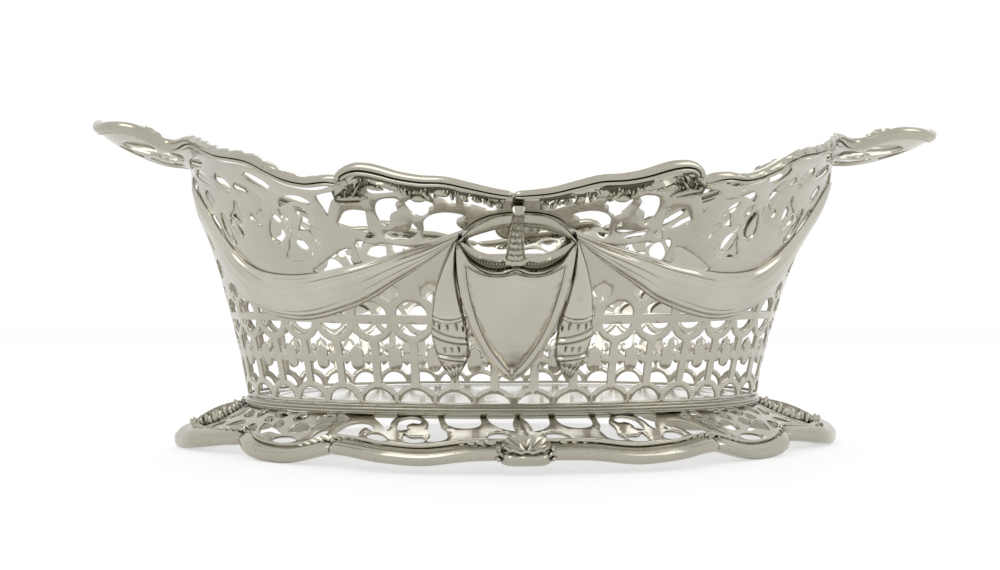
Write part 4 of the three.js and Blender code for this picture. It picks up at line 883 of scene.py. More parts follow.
TOP_STEP = 0.12


def top_line(start, end):
    """The sheet's top edge between two pitches, as plan points."""
    pitch = np.linspace(start, end, max(int(round(abs(end - start) / TOP_STEP)), 1) + 1)
    return np.stack([pitch * PITCH, sheet_top(pitch)], 1)


def upper_sheet(start, end, handle=None):
    """Points and faces of the wall above the joint with the fretwork, still in the plan, and its two ends."""
    join = np.arange(start + FRET_SHIFT, end + FRET_SHIFT + 0.01, JOIN_STEP)
    foot = np.stack([join * PITCH, np.full(len(join), JOIN_HEIGHT)], 1)
    first, last = join[0], join[-1]
    lines = []
    top = top_line(first, last)
    if handle is not None:
        tongue = tongue_outline(handle)
        neck_start, neck_end = tongue[0][0], tongue[-1][0]
        outline = [(neck_start, 0), *tongue, (neck_end, 0)]
        edge = rounded([(p * PITCH, float(sheet_top(p)) + past) for p, past in outline], 0.9, closed=False)
        top = np.concatenate([top_line(first, neck_start)[:-1], edge, top_line(neck_end, last)[1:]])
        lines.append(top_line(neck_start, neck_end)[1:-1])
    outline = np.concatenate([foot, top[::-1]])
    points, faces = drawn([outline], upper_openings(first, last), UPPER_STEP, lines)
    return points, faces, (first * PITCH, last * PITCH)


def add_shape(work, points, faces):
    """Adds points in millimetres and their faces to a mesh in work."""
    corners = [work.verts.new(p) for p in np.asarray(points) * MM]
    for face in faces:
        work.faces.new([corners[i] for i in face])


def mesh_of(work, name):
    """The finished mesh of a mesh in work."""
    mesh = bpy.data.meshes.new(name)
    work.to_mesh(mesh)
    work.free()
    return mesh


def wall_piece(name, start, end, handle, rows):
    """A whole wall sheet: its fretwork rows welded to its upper part, with closed ends at the seams."""
    points, faces, ends = upper_sheet(start, end, handle)

    def open_edge(a, b):
        level = abs(a[1] - JOIN_HEIGHT) < 1e-4 and abs(b[1] - JOIN_HEIGHT) < 1e-4
        return level or any(abs(a[0] - x) < 1e-4 and abs(b[0] - x) < 1e-4 for x in ends)

    def laid(plan, out):
        return fret_wall(plan[:, 0] / PITCH, plan[:, 1], out)
    work = bmesh.new()
    work.from_mesh(rows)
    add_shape(work, *solid(points, faces, laid, SHEET / 2, -SHEET / 2, CHAMFER, open_edge))
    bmesh.ops.remove_doubles(work, verts=work.verts[:], dist=0.02 * MM)
    bmesh.ops.holes_fill(work, edges=[edge for edge in work.edges if edge.is_boundary], sides=0)
    bmesh.ops.recalc_face_normals(work, faces=work.faces[:])
    finished(name, mesh_of(work, name), pierced_silver, sharp=50)


def make_walls():
    tile, guide, tree = fret_tile(), guide_surface(), fretwork_tree()
    turn = 2 * END_PITCH
    for name, start, end, handle in (("wall_front", -SEAM_PITCH, SEAM_PITCH, None),
                                     ("wall_right_end", SEAM_PITCH, turn - SEAM_PITCH, END_PITCH),
                                     ("wall_back", turn - SEAM_PITCH, turn + SEAM_PITCH, None),
                                     ("wall_left_end", SEAM_PITCH - turn, -SEAM_PITCH, -END_PITCH)):
        rows = mesh_of_tree(name + "_rows", tree, {
            "Tile": tile, "Wall guide": guide, "First pitch": start + 0.5 + FRET_SHIFT,
            "Tiles": int(round(end - start)), "Weld distance": 0.01 * MM, "Finish": pierced_silver})
        wall_piece(name, start, end, handle, rows)
    for helper in (tile, guide):
        bpy.data.objects.remove(helper)


# Lumps and strips modelled on a surface


def slab(front, back):
    """A closed solid between two grids of points."""
    rows, columns = front.shape[:2]
    count = rows * columns
    faces = []
    for i in range(rows - 1):
        for a in range(i * columns, i * columns + columns - 1):
            face = (a, a + columns, a + columns + 1, a + 1)
            faces += [face, tuple(k + count for k in (face[0], *face[:0:-1]))]
    grid = np.arange(count).reshape(rows, columns)
    rim = [*grid[0], *grid[1:, -1], *grid[-1, -2::-1], *grid[-2:0:-1, 0]]
    faces += [(a, b, b + count, a + count) for a, b in zip(rim, rim[1:] + rim[:1])]
    return facing_out(np.concatenate([front.reshape(-1, 3), back.reshape(-1, 3)]), faces)


THIN = 0.25


def line_at(line, share):
    """Pitches and heights of a line given as (share, pitch, height) points, at shares of its length."""
    return [through([(p[0], p[k]) for p in line])(share) for k in (1, 2)]


def draped(lower, upper, steps, lay, stand, painted_shade, back):
    """A strip between a lower and an upper edge, each given as (share, pitch, height). stand(share, across)
    gives how far its face is from the wall, and the next function how far it is darkened with painted shade,
    across running from
    -1 at the lower edge to 1. Its back is no further out than back."""
    rows, columns = steps
    share = np.linspace(0, 1, rows)[:, None]
    across = np.sin(np.linspace(-1, 1, columns) * math.pi / 2)[None, :]
    ends = [line_at(edge, share) for edge in (lower, upper)]
    mix = (1 + across) / 2
    pitch, height = ((1 - mix) * ends[0][k] + mix * ends[1][k] for k in (0, 1))
    share, across = np.broadcast_arrays(share, across)
    out = stand(share, across)
    dark = np.clip(painted_shade(share, across), 0, 1).ravel()
    body = slab(lay(pitch, height, out), lay(pitch, height, np.minimum(out, back) - THIN))
    return *body, np.concatenate([dark, 0 * dark])


def almond(lay, start, end, half_width, stand, bow=0.0, base=0.3, steps=(8, 5)):
    """A leaf-shaped lump on a surface between two plan points, in millimetres."""
    start, end = np.array(start, float), np.array(end, float)
    along = end - start
    side = np.array([-along[1], along[0]]) / np.hypot(*along)
    share = np.linspace(0, 1, steps[0])[:, None]
    across = np.linspace(-1, 1, steps[1])[None, :]
    full = np.sin(np.pi * np.clip(share, 0.02, 0.98)) ** 0.6
    off = half_width * full * across + bow * np.sin(np.pi * share)
    x, y = (start[k] + along[k] * share + side[k] * off for k in (0, 1))
    out = base + stand * full * np.sqrt(np.maximum(1 - across ** 2, 0.02))
    return slab(lay(x, y, out), lay(x, y, 0 * out + base - THIN))


def wall_plan(centre, hand):
    """Lays millimetres beside a middle line, and height above the table, on the wall."""
    def lay(x, z, out):
        share = np.clip((z - WALL_FOOT) / (RIM_DIP - WALL_FOOT), 0, 1.2)
        spread = 1 + (RIM_HALF_LENGTH / BASE_HALF_LENGTH - 1) * front_flare(share)
        return wall(centre + hand * x / (PITCH * spread), z, out)
    return lay


SIDES = [("front", 0, 1), ("back", 2 * END_PITCH, -1)]
MOUNT_SHIFT = -0.16


def almonds(lay, table, **settings):
    """Lumps by a table of where each starts and ends, its half width, how far it stands out and its bow."""
    return [almond(lay, (a, b), (c, d), half_width, stand, bow=bow, **settings)
            for a, b, c, d, half_width, stand, bow in table]


def side_pieces(shift=0.0):
    """Every side of the basket with each hand of it, and the name of its place."""
    for side, centre, turn in SIDES:
        for hand in (-1, 1):
            yield centre + shift * turn, hand, side + ("_right" if hand * turn > 0 else "_left")


# Lumps set along a path by a node tree: beads, flutes and rim leaves


def lumps_tree():
    """Sets a lump at even steps along a path, with its foot away from the path's own side."""
    given, add, close = node_group("lumps along a path", {
        "Path": "Object", "Lump": "Object", "Spacing": "Float", "Size": "Float", "Finish": "Material"})
    path, lump = (add("GeometryNodeObjectInfo", {"Object": given[label]}).outputs["Geometry"]
                  for label in ("Path", "Lump"))
    line = add("GeometryNodeMeshToCurve", {"Mesh": path})
    even = add("GeometryNodeResampleCurve", {"Curve": line.outputs[0], "Length": given["Spacing"]},
               mode="LENGTH")
    away = add("GeometryNodeInputNamedAttribute", {"Name": "away"}, data_type="FLOAT_VECTOR")
    along = add("GeometryNodeInputTangent")
    turn = add("FunctionNodeAxesToRotation", {"Primary Axis": away.outputs[0],
                                              "Secondary Axis": along.outputs[0]},
               primary_axis="Z", secondary_axis="X")
    grown = add("GeometryNodeInputNamedAttribute", {"Name": "growth"}, data_type="FLOAT")
    size = add("ShaderNodeMath", {0: grown.outputs[0], 1: given["Size"]}, operation="MULTIPLY")
    placed = add("GeometryNodeInstanceOnPoints", {"Points": even.outputs[0], "Instance": lump,
                                                  "Rotation": turn.outputs[0], "Scale": size.outputs[0]})
    return close(placed.outputs[0])


def helper_object(name, points, faces, edges=(), **attributes):
    """An object from points in millimetres, for the node trees only."""
    return new_object(name, new_mesh(name, np.asarray(points) * MM, faces, edges, **attributes))


def flat_lay(x, y, out):
    return np.stack([x, y, out], -1)


# Parts of the lumps: start, end, half width, how far each stands out, its bow and the level of its foot
LUMPS = {
    "flute": [(0, -1.1, 0, 1.1, 0.3, 0.55, 0, 0)],
    "rim_leaf": [(-4.6, -0.5, 4.6, 0.25, 1.15, 0.75, 0.35, 0), (-3.4, 0.7, 2.4, 1.3, 0.6, 0.5, 0.2, -0.1)],
    "curl": [(-1.6, -0.6, 1.5, 0.5, 0.5, 0.8, 0.4, 0), (-0.6, 0.9, 1.3, 1.4, 0.4, 0.6, -0.3, 0)]}


def lump_objects():
    """The lumps that the node tree repeats: the flute, the rim's leaf and the curl."""
    made = []
    for name, rows in LUMPS.items():
        parts = [part for *row, base in rows for part in almonds(flat_lay, [row], base=base)]
        made.append(helper_object(name, *joined(parts)))
    return made


def lumps(tree, lump, path, away, growth, spacing, size=1.0):
    """The mesh of lumps along a path in millimetres."""
    edges = [(i, i + 1) for i in range(len(path) - 1)]
    line = helper_object("lump_path", path, [], edges, away=away, growth=growth)
    mesh = mesh_of_tree("lumps", tree, {"Path": line, "Lump": lump, "Spacing": spacing * MM, "Size": size,
                                        "Finish": cast_silver})
    bpy.data.objects.remove(line)
    return mesh


def with_meshes(shape, meshes, dark=0.0):
    """One mesh from points in millimetres and their faces, with how dark they are, and ready meshes."""
    points, faces = shape
    work = bmesh.new()
    add_shape(work, points, faces)
    for mesh in meshes:
        work.from_mesh(mesh)
    mesh = mesh_of(work, "made")
    values = np.zeros(len(mesh.vertices), np.float32)
    values[:len(points)] = dark
    mesh.attributes.new("dark", "FLOAT", "POINT").data.foreach_set("value", values)
    return mesh


# Rolls of the rim

ROLL_LIFT = 1.3
END_LIFT = 1.8
RIM_SHIFT = -0.14
MEETING_PITCH = -0.31
# Middle line of a C-scroll: pitches from the middle, millimetres above the table and out from the sheet
SCROLL_LINE = [(0.5, 73.4, 0), (0.96, 74.9, 0), (1.41, 76.4, 0), (1.87, 76.9, 0), (2.33, 78.2, 0.1),
               (2.6, 79.4, 0.2), (2.85, 80.3, 0.3), (3.1, 80.6, 0.5), (3.29, 80, 0.7), (3.39, 78.6, 0.9),
               (3.38, 76.9, 1.1)]
EDGE_MARGIN = 0.05


def edge_point(pitch, above, out=0.0):
    """A place on the sheet near its top edge: so far above the edge, or below it where above is negative."""
    place = wall(pitch, sheet_top(pitch) - EDGE_MARGIN + np.minimum(above, 0), out)
    place[..., 2] += EDGE_MARGIN + np.maximum(above, 0)
    return place


# A rim roll's bead in its radii: where its middle is, and its own radius
ROLL_BEAD = (0.76, -0.66, 0.27)


def roll_profile():
    """Section of a rim roll, radius 1, with a small bead under its outer side."""
    main = [(math.cos(a), math.sin(a)) for a in np.radians(np.linspace(-10, 205, 15))]
    foot = [(-0.62, -0.72), (-0.1, -0.82), (0.38, -0.8)]
    x, y, radius = ROLL_BEAD
    bead = [(x + radius * math.cos(a), y + radius * math.sin(a))
            for a in np.radians(np.linspace(-150, 75, 7))]
    return main + foot + bead + [(0.62, -0.3)]


def capped(size, path):
    """Sizes along a path that round its ends off."""
    length = lengths_along(path)
    made = np.array(size, float) * np.ones(len(path))
    for distance in (length, length[-1] - length):
        near = np.clip(distance / RIM_ROLL, 0, 1)
        made *= np.sqrt(np.maximum(1 - (1 - near) ** 2, 0.003))
    return made


def curve_through(points, step):
    """A smooth open curve through points in space."""
    points = np.array(points, float)
    at = lengths_along(points)
    share = np.linspace(0, at[-1], max(int(at[-1] / step), 2) + 1)
    return np.stack([through(list(zip(at, column)))(share) for column in points.T], 1)


END_REACH = 1.6
END_POINTS = 6


def dense_ends(path):
    """A path with extra points near its ends, where a cap is rounded."""
    at = lengths_along(path)
    near = END_REACH * (1 - np.cos(np.linspace(0, math.pi / 2, END_POINTS)))
    inner = at[(at > END_REACH * 1.1) & (at < at[-1] - END_REACH * 1.1)]
    return taken_at(np.concatenate([near, inner, (at[-1] - near)[::-1]]), at, path)


# Size of a C-scroll's roll by its share of the way, and the heights at which it starts in the dip
SCROLL_SIZE = through([(0, 0.62), (0.25, 0.8), (0.6, 0.98), (0.8, 1.05), (0.9, 0.85), (1, 0.62)])
MEETING_HEIGHTS = (72.7, 72.9)
MEETING_GAP = 0.006


def rim_scroll(centre, hand, turn):
    """A C-scroll of the rim, from the dip to its curled outer end."""
    start = (MEETING_PITCH - RIM_SHIFT) * turn * hand + MEETING_GAP
    line = [(start, MEETING_HEIGHTS[0], 0), (start / 2 + 0.2, MEETING_HEIGHTS[1], 0)] + SCROLL_LINE
    points = []
    for pitch, height, out in line:
        edge = edge_point(centre + RIM_SHIFT * turn + hand * pitch, -0.05, out)
        tilt = RIM_TILT * math.sin(float(angle_at(centre + hand * pitch)))
        points.append((edge[0], edge[1], height + tilt))
    path = dense_ends(curve_through(points, 1.0))
    size = RIM_ROLL * SCROLL_SIZE(np.linspace(0, 1, len(path)))
    return facing_out(*swept(path, roll_profile(), capped(size, path), *outward_frames(path)))


def outward_frames(path):
    """Level ways from the basket's middle outwards, square to the path, and the ways square to both."""
    along = unit(np.gradient(path, axis=0))
    level = np.stack([along[:, 1], -along[:, 0], 0 * along[:, 0]], 1)
    away = path + np.array([FRAME_SHIFT, 0, 0])
    turn = np.sign((level * away).sum(1, keepdims=True))
    length = np.linalg.norm(level, axis=1, keepdims=True)
    strong = np.clip(length * 2.5, 0, 1)
    side = level / np.maximum(length, 1e-9) * turn * strong + unit(away * np.array([1, 1, 0])) * (1 - strong)
    side = square_to(along, side)
    up = np.cross(side, along)
    return side, up * np.sign(up[:, 2:3] + 1e-9 * up[:, 1:2])


# The border of an end starts level with the saddle at this pitch, and its path and its ways out are smoothed
# this many times
BORDER_START = 3.42
PATH_SMOOTHING = 3
SIDE_SMOOTHING = 8


def end_border_path(centre):
    """Points of the border round an end of the rim and its handle, with the ways out of the sheet and past
    its edge."""
    tongue = tongue_outline(centre)
    start = centre - END_PITCH + BORDER_START
    rim = [(start, RIM_SADDLE + 0.8 - float(sheet_top(start)))]
    rim += [(pitch, 0.0) for pitch in np.linspace(start + 0.4, tongue[0][0] - 0.3, 11)]
    outline = rim + list(tongue) + [(2 * centre - pitch, past) for pitch, past in rim[::-1]]
    on_sheet, off_sheet = (np.array([wall(pitch, float(sheet_top(pitch)) + past, out)
                                     for pitch, past in outline]) for out in (0.0, 1.0))
    path = dense_ends(curve_through(on_sheet, 1.2))
    at, now = lengths_along(on_sheet), lengths_along(path)
    side = taken_at(now * (at[-1] / now[-1]), at, off_sheet - on_sheet)
    for row in [path] * PATH_SMOOTHING + [side] * SIDE_SMOOTHING:
        row[1:-1] = (row[:-2] + 2 * row[1:-1] + row[2:]) / 4
    along = unit(np.gradient(path, axis=0))
    side = square_to(along, side)
    beyond = np.cross(side, along)
    beyond *= np.sign(beyond[0, 2])
    return path + beyond * END_LIFT, side, beyond


LEAF_GROWTH = through([(0, 0.75), (0.25, 0.95), (0.7, 1.1), (1, 0.9)])
LEAF_SPACING = 7.4
# Leaves of the border: how far off the handle they start, the share of the rim's half width up to which
# they stand, how far they lean out, and the length of the waves in the roll under them
LEAVES_START = 3.5
LEAVES_END = 0.84
LEAF_LEAN = 0.45
RIPPLE_LENGTH = 11


def end_border(centre, tree, leaf):
    """The border of one end: a roll, plain round the handle, and with overlapping cast leaves on the rim."""
    path, side, beyond = end_border_path(centre)
    width = np.abs(path[:, 1])
    on_rim = np.clip((width - HANDLE_HALF_WIDTH - 3) / 6, 0, 1)
    wave = np.abs(np.sin(math.pi * lengths_along(path) / RIPPLE_LENGTH))
    ripple = 1 + 0.08 * on_rim * wave - 0.15 * on_rim
    size = RIM_ROLL * 0.95 * ripple
    meshes = []
    leafy = (width > HANDLE_HALF_WIDTH + LEAVES_START) & (width < LEAVES_END * RIM_HALF_WIDTH)
    for half in (-1, 1):
        chosen = (np.sign(path[:, 1]) == half) & leafy
        away = side[chosen] * LEAF_LEAN + beyond[chosen]
        line = path[chosen] + away * 0.95
        if line[0, 2] < line[-1, 2]:
            line, away = line[::-1], away[::-1]
        growth = LEAF_GROWTH(np.linspace(0, 1, len(line)))
        meshes.append(lumps(tree, leaf, line, away, growth, LEAF_SPACING))
    return with_meshes(facing_out(*swept(path, roll_profile(), capped(size, path), side, beyond)), meshes)


# Strokes of the cast foliage under a C-scroll: start and end in pitches and millimetres below the rim's edge,
# half width and how far each stands out
FOLIAGE = [
    (3.58, 2.2, 2.98, 4.6, 0.55, 1.3), (3.6, 1.2, 3.25, -0.6, 0.6, 1.5), (3.2, 1.9, 3.05, -0.4, 0.5, 1.3),
    (3.3, 3.3, 3.05, 0.9, 0.45, 1.4), (3.6, 3.4, 3.15, 5.0, 0.4, 1.1), (2.95, 0.1, 2.2, 1.3, 0.6, 1.4),
    (3, 1.7, 2.6, 2.2, 0.45, 1.2), (2.5, 1.0, 2.1, 2.3, 0.4, 1.1), (2.25, 0.8, 2.05, 3.0, 0.45, 1.3),
    (2.1, 2.8, 1.78, 2.7, 0.6, 1.3), (1.86, 0.9, 1.66, 2.9, 0.4, 1.2), (1.64, 1.0, 1.34, 1.3, 0.6, 1.1),
    (1.32, 0.6, 1.26, 2.1, 0.4, 1.2), (1.16, 0.9, 0.98, 1.9, 0.45, 1.1), (0.92, 1.2, 0.72, 1.4, 0.35, 1.0),
    (0.68, 1.1, 0.52, 2.0, 0.4, 1.1), (0.5, 1.4, 0.34, 2.1, 0.35, 0.9)]
# Short strokes strewn between the others, from the curl back to the dip, and the ground that they stand on
STROKES = 46
FIRST_STROKE = 3.55
STROKE_REACH = 3.2
CURL_PITCH = 3.05
GROUND_START = 3.62
GROUND_END = 0.3
GROUND_DEPTH = through([(0.3, 0.4), (1, 0.7), (1.7, 1.2), (2.2, 0.9), (2.85, 1), (3.1, 2.8), (3.3, 3.8),
                        (3.62, 2.8)])


def rim_foliage(centre, hand):
    """Cast leaves under a C-scroll, cut strokes on a ground darkened with painted shade."""
    def lay(x, below, out):
        return edge_point(centre + hand * x / PITCH, -below, out)
    parts = almonds(lay, [(u0 * PITCH, d0, u1 * PITCH, d1, half_width, stand, 0.25)
                          for u0, d0, u1, d1, half_width, stand in FOLIAGE], base=0.6)
    uneven = random.Random(11)
    for i in range(STROKES):
        u = FIRST_STROKE - STROKE_REACH * (i / (STROKES - 1)) ** 1.25
        d, turn = uneven.uniform(0.1, 3.2 if u > CURL_PITCH else 1.3), uneven.uniform(-2.2, 2.2)
        run, fall = uneven.uniform(0.5, 0.95) * math.cos(turn), uneven.uniform(0.5, 0.95) * math.sin(turn)
        half_width, stand = uneven.uniform(0.2, 0.34), uneven.uniform(0.7, 1.2)
        parts.append(almond(lay, (u * PITCH, d), (u * PITCH - run, d + fall), half_width, stand,
                            bow=uneven.uniform(-0.2, 0.2), base=0.75, steps=(6, 5)))
    ground = np.linspace(GROUND_START, GROUND_END, 60)[:, None]
    depth = np.array([0, 0.35, 0.7, 1])[None, :]
    below = GROUND_DEPTH(ground) * depth - 0.6 * (1 - depth)
    bed = slab(*(lay(ground * PITCH + 0 * depth, below, 0 * below + out) for out in (0.75, 0.55)))
    strokes = joined(parts)
    # The ground under the leaves is darkened with painted shade
    return *joined([bed, strokes]), np.repeat([0.85, 0], [len(bed[0]), len(strokes[0])])


# Leaves of a handle's knop: start, end, half width, how far out and bow, then how deep they are rooted
KNOP_LEAVES = [(-2.9, 0, 3.1, 0.2, 1.5, 1.9, 0.2), (-4.4, -0.9, 0.2, -0.6, 0.9, 1.6, 0.4),
               (-0.4, 0.7, 4.4, 1.2, 0.9, 1.5, -0.3)]
KNOP_SPRIGS = [(-1.6, 1.2, 0.6, 0.6, 0.6, 1.5, 0.3), (0.6, -1.2, 2.8, -0.5, 0.6, 1.4, 0.3)]
KNOP_HEIGHT = 2.6


def handle_knop(centre, hand):
    """A cast lump of small leaves on the border beside the handle."""
    tongue = tongue_outline(centre)[::-hand]
    before, root = (wall(pitch, float(sheet_top(pitch)) + past) for pitch, past in tongue[3:5])
    spot = root + np.array([0, np.sign(root[1]) * ROLL_LIFT, KNOP_HEIGHT])
    run = unit(root - before)
    side = unit(np.cross(run, (0, 0, 1)))
    up = np.cross(side, run)

    def lay(x, y, out):
        x, y, out = (np.asarray(v, float)[..., None] for v in (x, y, out))
        return spot + run * x + side * y + up * out
    return joined(almonds(lay, KNOP_LEAVES, base=-0.9) + almonds(lay, KNOP_SPRIGS, base=-0.6))


def make_rim(tree, leaf):
    for centre, hand, place in side_pieces():
        turn = 1 if centre == 0 else -1
        piece("rim_scroll_" + place, rim_scroll(centre, hand, turn), cast_silver)
        piece("rim_foliage_" + place, rim_foliage(centre + RIM_SHIFT * turn, hand), cast_silver)
    for end, centre in (("left", -END_PITCH), ("right", END_PITCH)):
        finished("rim_border_" + end, end_border(centre, tree, leaf), cast_silver)
        for hand in (-1, 1):
            side = "_front" if hand * centre < 0 else "_back"
            piece("handle_knop_" + end + side, handle_knop(centre, hand), cast_silver)


# Shields and what stands over them

SHIELD_HALF = [(0, 24.6, 1), (2.8, 26.2), (6, 29.9), (9.6, 35.4), (12.6, 42.4), (14.7, 50), (15.7, 57),
               (16, 63.4, 1), (12.6, 60), (8.6, 57.6), (4.4, 57), (0, 57.8, 1)]
SHIELD_INSET = 2.4
LINE_HALF = 0.17
SHIELD_THICKNESS = 0.9
SHIELD_STAND = SHEET / 2 + 0.7
MOULDING_HALF = 15.6
# Leaves at a shield's tip
TIP_LEAVES = [(0, 25.6, 0, 29.4, 0.6, 0.6, 0), (0, 25.6, -1.5, 28.2, 0.4, 0.4, 0.3),
              (0, 25.6, 1.5, 28.2, 0.4, 0.4, -0.3)]
MOULDING_LOW = through([(0, 57.6), (1.2, 57.1), (3, 56.2), (5.6, 56), (8.4, 56.8), (11, 58.6), (13, 60.6),
                        (15.6, 63.4)])
MOULDING_HIGH = through([(0, 60.6), (3, 60.3), (6, 60), (9, 60.5), (12, 62), (14.2, 63.2), (15.6, 63.9)])
LOOP_LINE = [(-1, -1.2, 63.9), (-0.8, -0.95, 65.8), (-0.5, -0.6, 67.4), (0, 0, 68.3), (0.5, 0.6, 67.4),
             (0.8, 0.95, 65.8), (1, 1.2, 63.9)]
FINIAL_FOOT = 59.4
FINIAL_TOP = 72.8


def side_lay(centre, hand):
    """Lays millimetres across and up on the wall at a side's middle, as a plate that only bends upwards."""
    top = float(sheet_top(centre)) - 0.1

    def lay(x, z, out):
        z = np.asarray(z, float)
        base = wall(np.full_like(z, centre), np.minimum(z, top), out)
        return base + np.stack([np.asarray(x, float) * hand, 0 * z, np.maximum(z - top, 0)], -1)
    return lay


def inset_loop(loop, distance):
    """A loop moved inwards, without the points that would come nearer its edge than that."""
    moved = grown_loop(loop, -distance)
    return moved[(edge_distance(moved, [loop]) > 0.97 * distance) & inside(moved, [loop])]


def shield(centre, hand):
    """A plain cartouche with a flat border, an engraved line and a slightly raised field."""
    half = rounded(SHIELD_HALF, 0.7, closed=False)
    outline = np.concatenate([half[:-1], (half * np.array([-1, 1]))[::-1][:-1]])
    lines = [inset_loop(outline, SHIELD_INSET + off) for off in (-LINE_HALF, 0, LINE_HALF)]
    points, faces = drawn([outline], [], 1.1, [np.concatenate([line, line[:1]]) for line in lines])
    depth = edge_distance(points, [outline])
    line = np.exp(-((depth - SHIELD_INSET) / (0.7 * LINE_HALF)) ** 2)
    dome = 0.9 * (1 - np.exp(-np.maximum(depth - SHIELD_INSET, 0) / 5))
    edge = 0.45 * (1 - np.exp(-depth / 0.5)) - 0.2 * np.exp(-((depth - SHIELD_INSET) / 0.7) ** 2)
    face = SHIELD_STAND + SHIELD_THICKNESS + edge + dome - 0.15 * line
    lay = side_lay(centre, hand)
    plate, all_faces = solid(points, faces, lambda plan, out: lay(plan[:, 0], plan[:, 1], out), face,
                             SHIELD_STAND, 0.15)
    if hand < 0:
        all_faces = [face[::-1] for face in all_faces]
    made, made_faces = joined([(plate, all_faces)] + almonds(lay, TIP_LEAVES, base=SHIELD_STAND + 1.2))
    dark = np.zeros(len(made))
    dark[:len(points)] = 0.95 * line
    return made, made_faces, dark


# Section of a shield's moulding: share of its height, how far out, and how far it is darkened with painted
# shade
MOULDING_SECTION = [(0, 1.0, 0), (0.07, 2.7, 0), (0.14, 3.0, 0), (0.2, 2.4, 0.5), (0.26, 3.0, 0),
                    (0.33, 2.7, 0),
                    (0.38, 1.3, 0.7), (0.58, 1.0, 0.85), (0.8, 1.1, 0.7), (0.86, 2.0, 0), (0.93, 2.3, 0),
                    (1, 1.2, 0)]
# The flutes: where they end, how far up the moulding they stand, their full height and spacing
FLUTES_HALF = 13.6
FLUTE_LEVEL = 0.59
FLUTE_HEIGHT = 4.4
FLUTE_SPACING = 0.85


def shield_moulding(centre, hand, tree, flute):
    """The cupid-bow moulding: a double ridge below a band of fine upright flutes."""
    lay = side_lay(centre, hand)
    x = np.linspace(-MOULDING_HALF, MOULDING_HALF, 79)[:, None]
    up, out, ground = np.array(MOULDING_SECTION).T
    low, high = MOULDING_LOW(np.abs(x)), MOULDING_HIGH(np.abs(x))
    end = np.clip((MOULDING_HALF - np.abs(x)) / 3, 0.15, 1)
    front, back = (lay(x + 0 * up, low + (high - low) * up, SHIELD_STAND + stand)
                   for stand in (0.7 + out * end, 0.4 + 0 * (x + up)))
    # Painted shade in the groove between the ridges and in the sunk band behind the flutes
    dark = np.tile(ground, len(x))
    x = np.linspace(-FLUTES_HALF, FLUTES_HALF, 60)
    low, high = MOULDING_LOW(np.abs(x)), MOULDING_HIGH(np.abs(x))
    z = (1 - FLUTE_LEVEL) * low + FLUTE_LEVEL * high
    path, above = (lay(x, z, 0 * x + SHIELD_STAND + stand) for stand in (1.7, 2.7))
    growth = np.clip((high - low) / FLUTE_HEIGHT, 0.25, 1)
    flutes = lumps(tree, flute, path, above - path, growth, FLUTE_SPACING, 0.95)
    return with_meshes(slab(front, back), [flutes], np.concatenate([dark, 0 * dark]))


# Section of a shield's loop: across, and how far out; its half width by share of the way; and how much wider
# a pitch is at its height than at the base ring
LOOP_SECTION = [(-1, 0.4), (-0.85, 1.1), (-0.5, 1.5), (0, 1.6), (0.4, 1.4), (0.62, 1.1), (0.7, 0.9),
                (0.85, 1.35), (1, 0.5)]
LOOP_WIDTH = through([(-1, 0.35), (-0.8, 0.9), (0, 1.05), (0.8, 0.9), (1, 0.35)])
LOOP_HALF = 1.15
LOOP_SPREAD = 1.15


def shield_loop(centre, hand):
    """The arched strap over a shield, rounded, with a thin line along its outer edge."""
    share = np.linspace(-1, 1, 61)
    pitch, height = line_at(LOOP_LINE, share)
    run = unit(np.stack([np.gradient(pitch) * PITCH * LOOP_SPREAD, np.gradient(height)], 1))
    across, stand = np.array(LOOP_SECTION).T
    half = LOOP_HALF * LOOP_WIDTH(share)[:, None]
    at = centre + hand * (pitch[:, None] - run[:, 1:2] * half * across / (PITCH * LOOP_SPREAD))
    level = height[:, None] + run[:, 0:1] * half * across
    return slab(wall(at, level, SHEET / 2 + 0.3 + stand + 0 * at), wall(at, level, SHEET / 2 + 0.25 + 0 * at))


FINIAL_HALF = through([(0, 3.4), (0.1, 2.7), (0.25, 2.35), (0.5, 2), (0.85, 1.55), (0.97, 1.5), (1, 1.2)])


def shield_finial(centre, hand):
    """An upright strap of bark-like leaves with a flared foot, in front of the loop."""
    lay = side_lay(centre, hand)
    share = np.linspace(0, 1, 33)[:, None]
    across = np.linspace(-1, 1, 11)[None, :]
    x = FINIAL_HALF(share) * across - 0.5 * share - 0.2
    z = FINIAL_FOOT + (FINIAL_TOP - FINIAL_FOOT) * share + 0 * across
    bark = 0.32 * np.abs(np.sin(3.2 * np.pi * across + 9 * np.pi * share)) + 0.22 * np.sin(17 * np.pi * share)
    out = SHIELD_STAND + 2.6 + 1.1 * np.sqrt(np.maximum(1 - across ** 2, 0)) + bark * (1 - across ** 6)
    feet = [(0.2, FINIAL_FOOT - 0.4, turn * 3.6, FINIAL_FOOT + 1.0, 0.75, 1.2, turn * 0.3)
            for turn in (-1, 1)]
    return joined([slab(lay(x, z, out), lay(x, z, 0 * out + SHIELD_STAND + 1.9))]
                  + almonds(lay, feet, base=SHIELD_STAND + 2.4))


# Swags and husks. Edges of a swag: share of its length, pitch and height

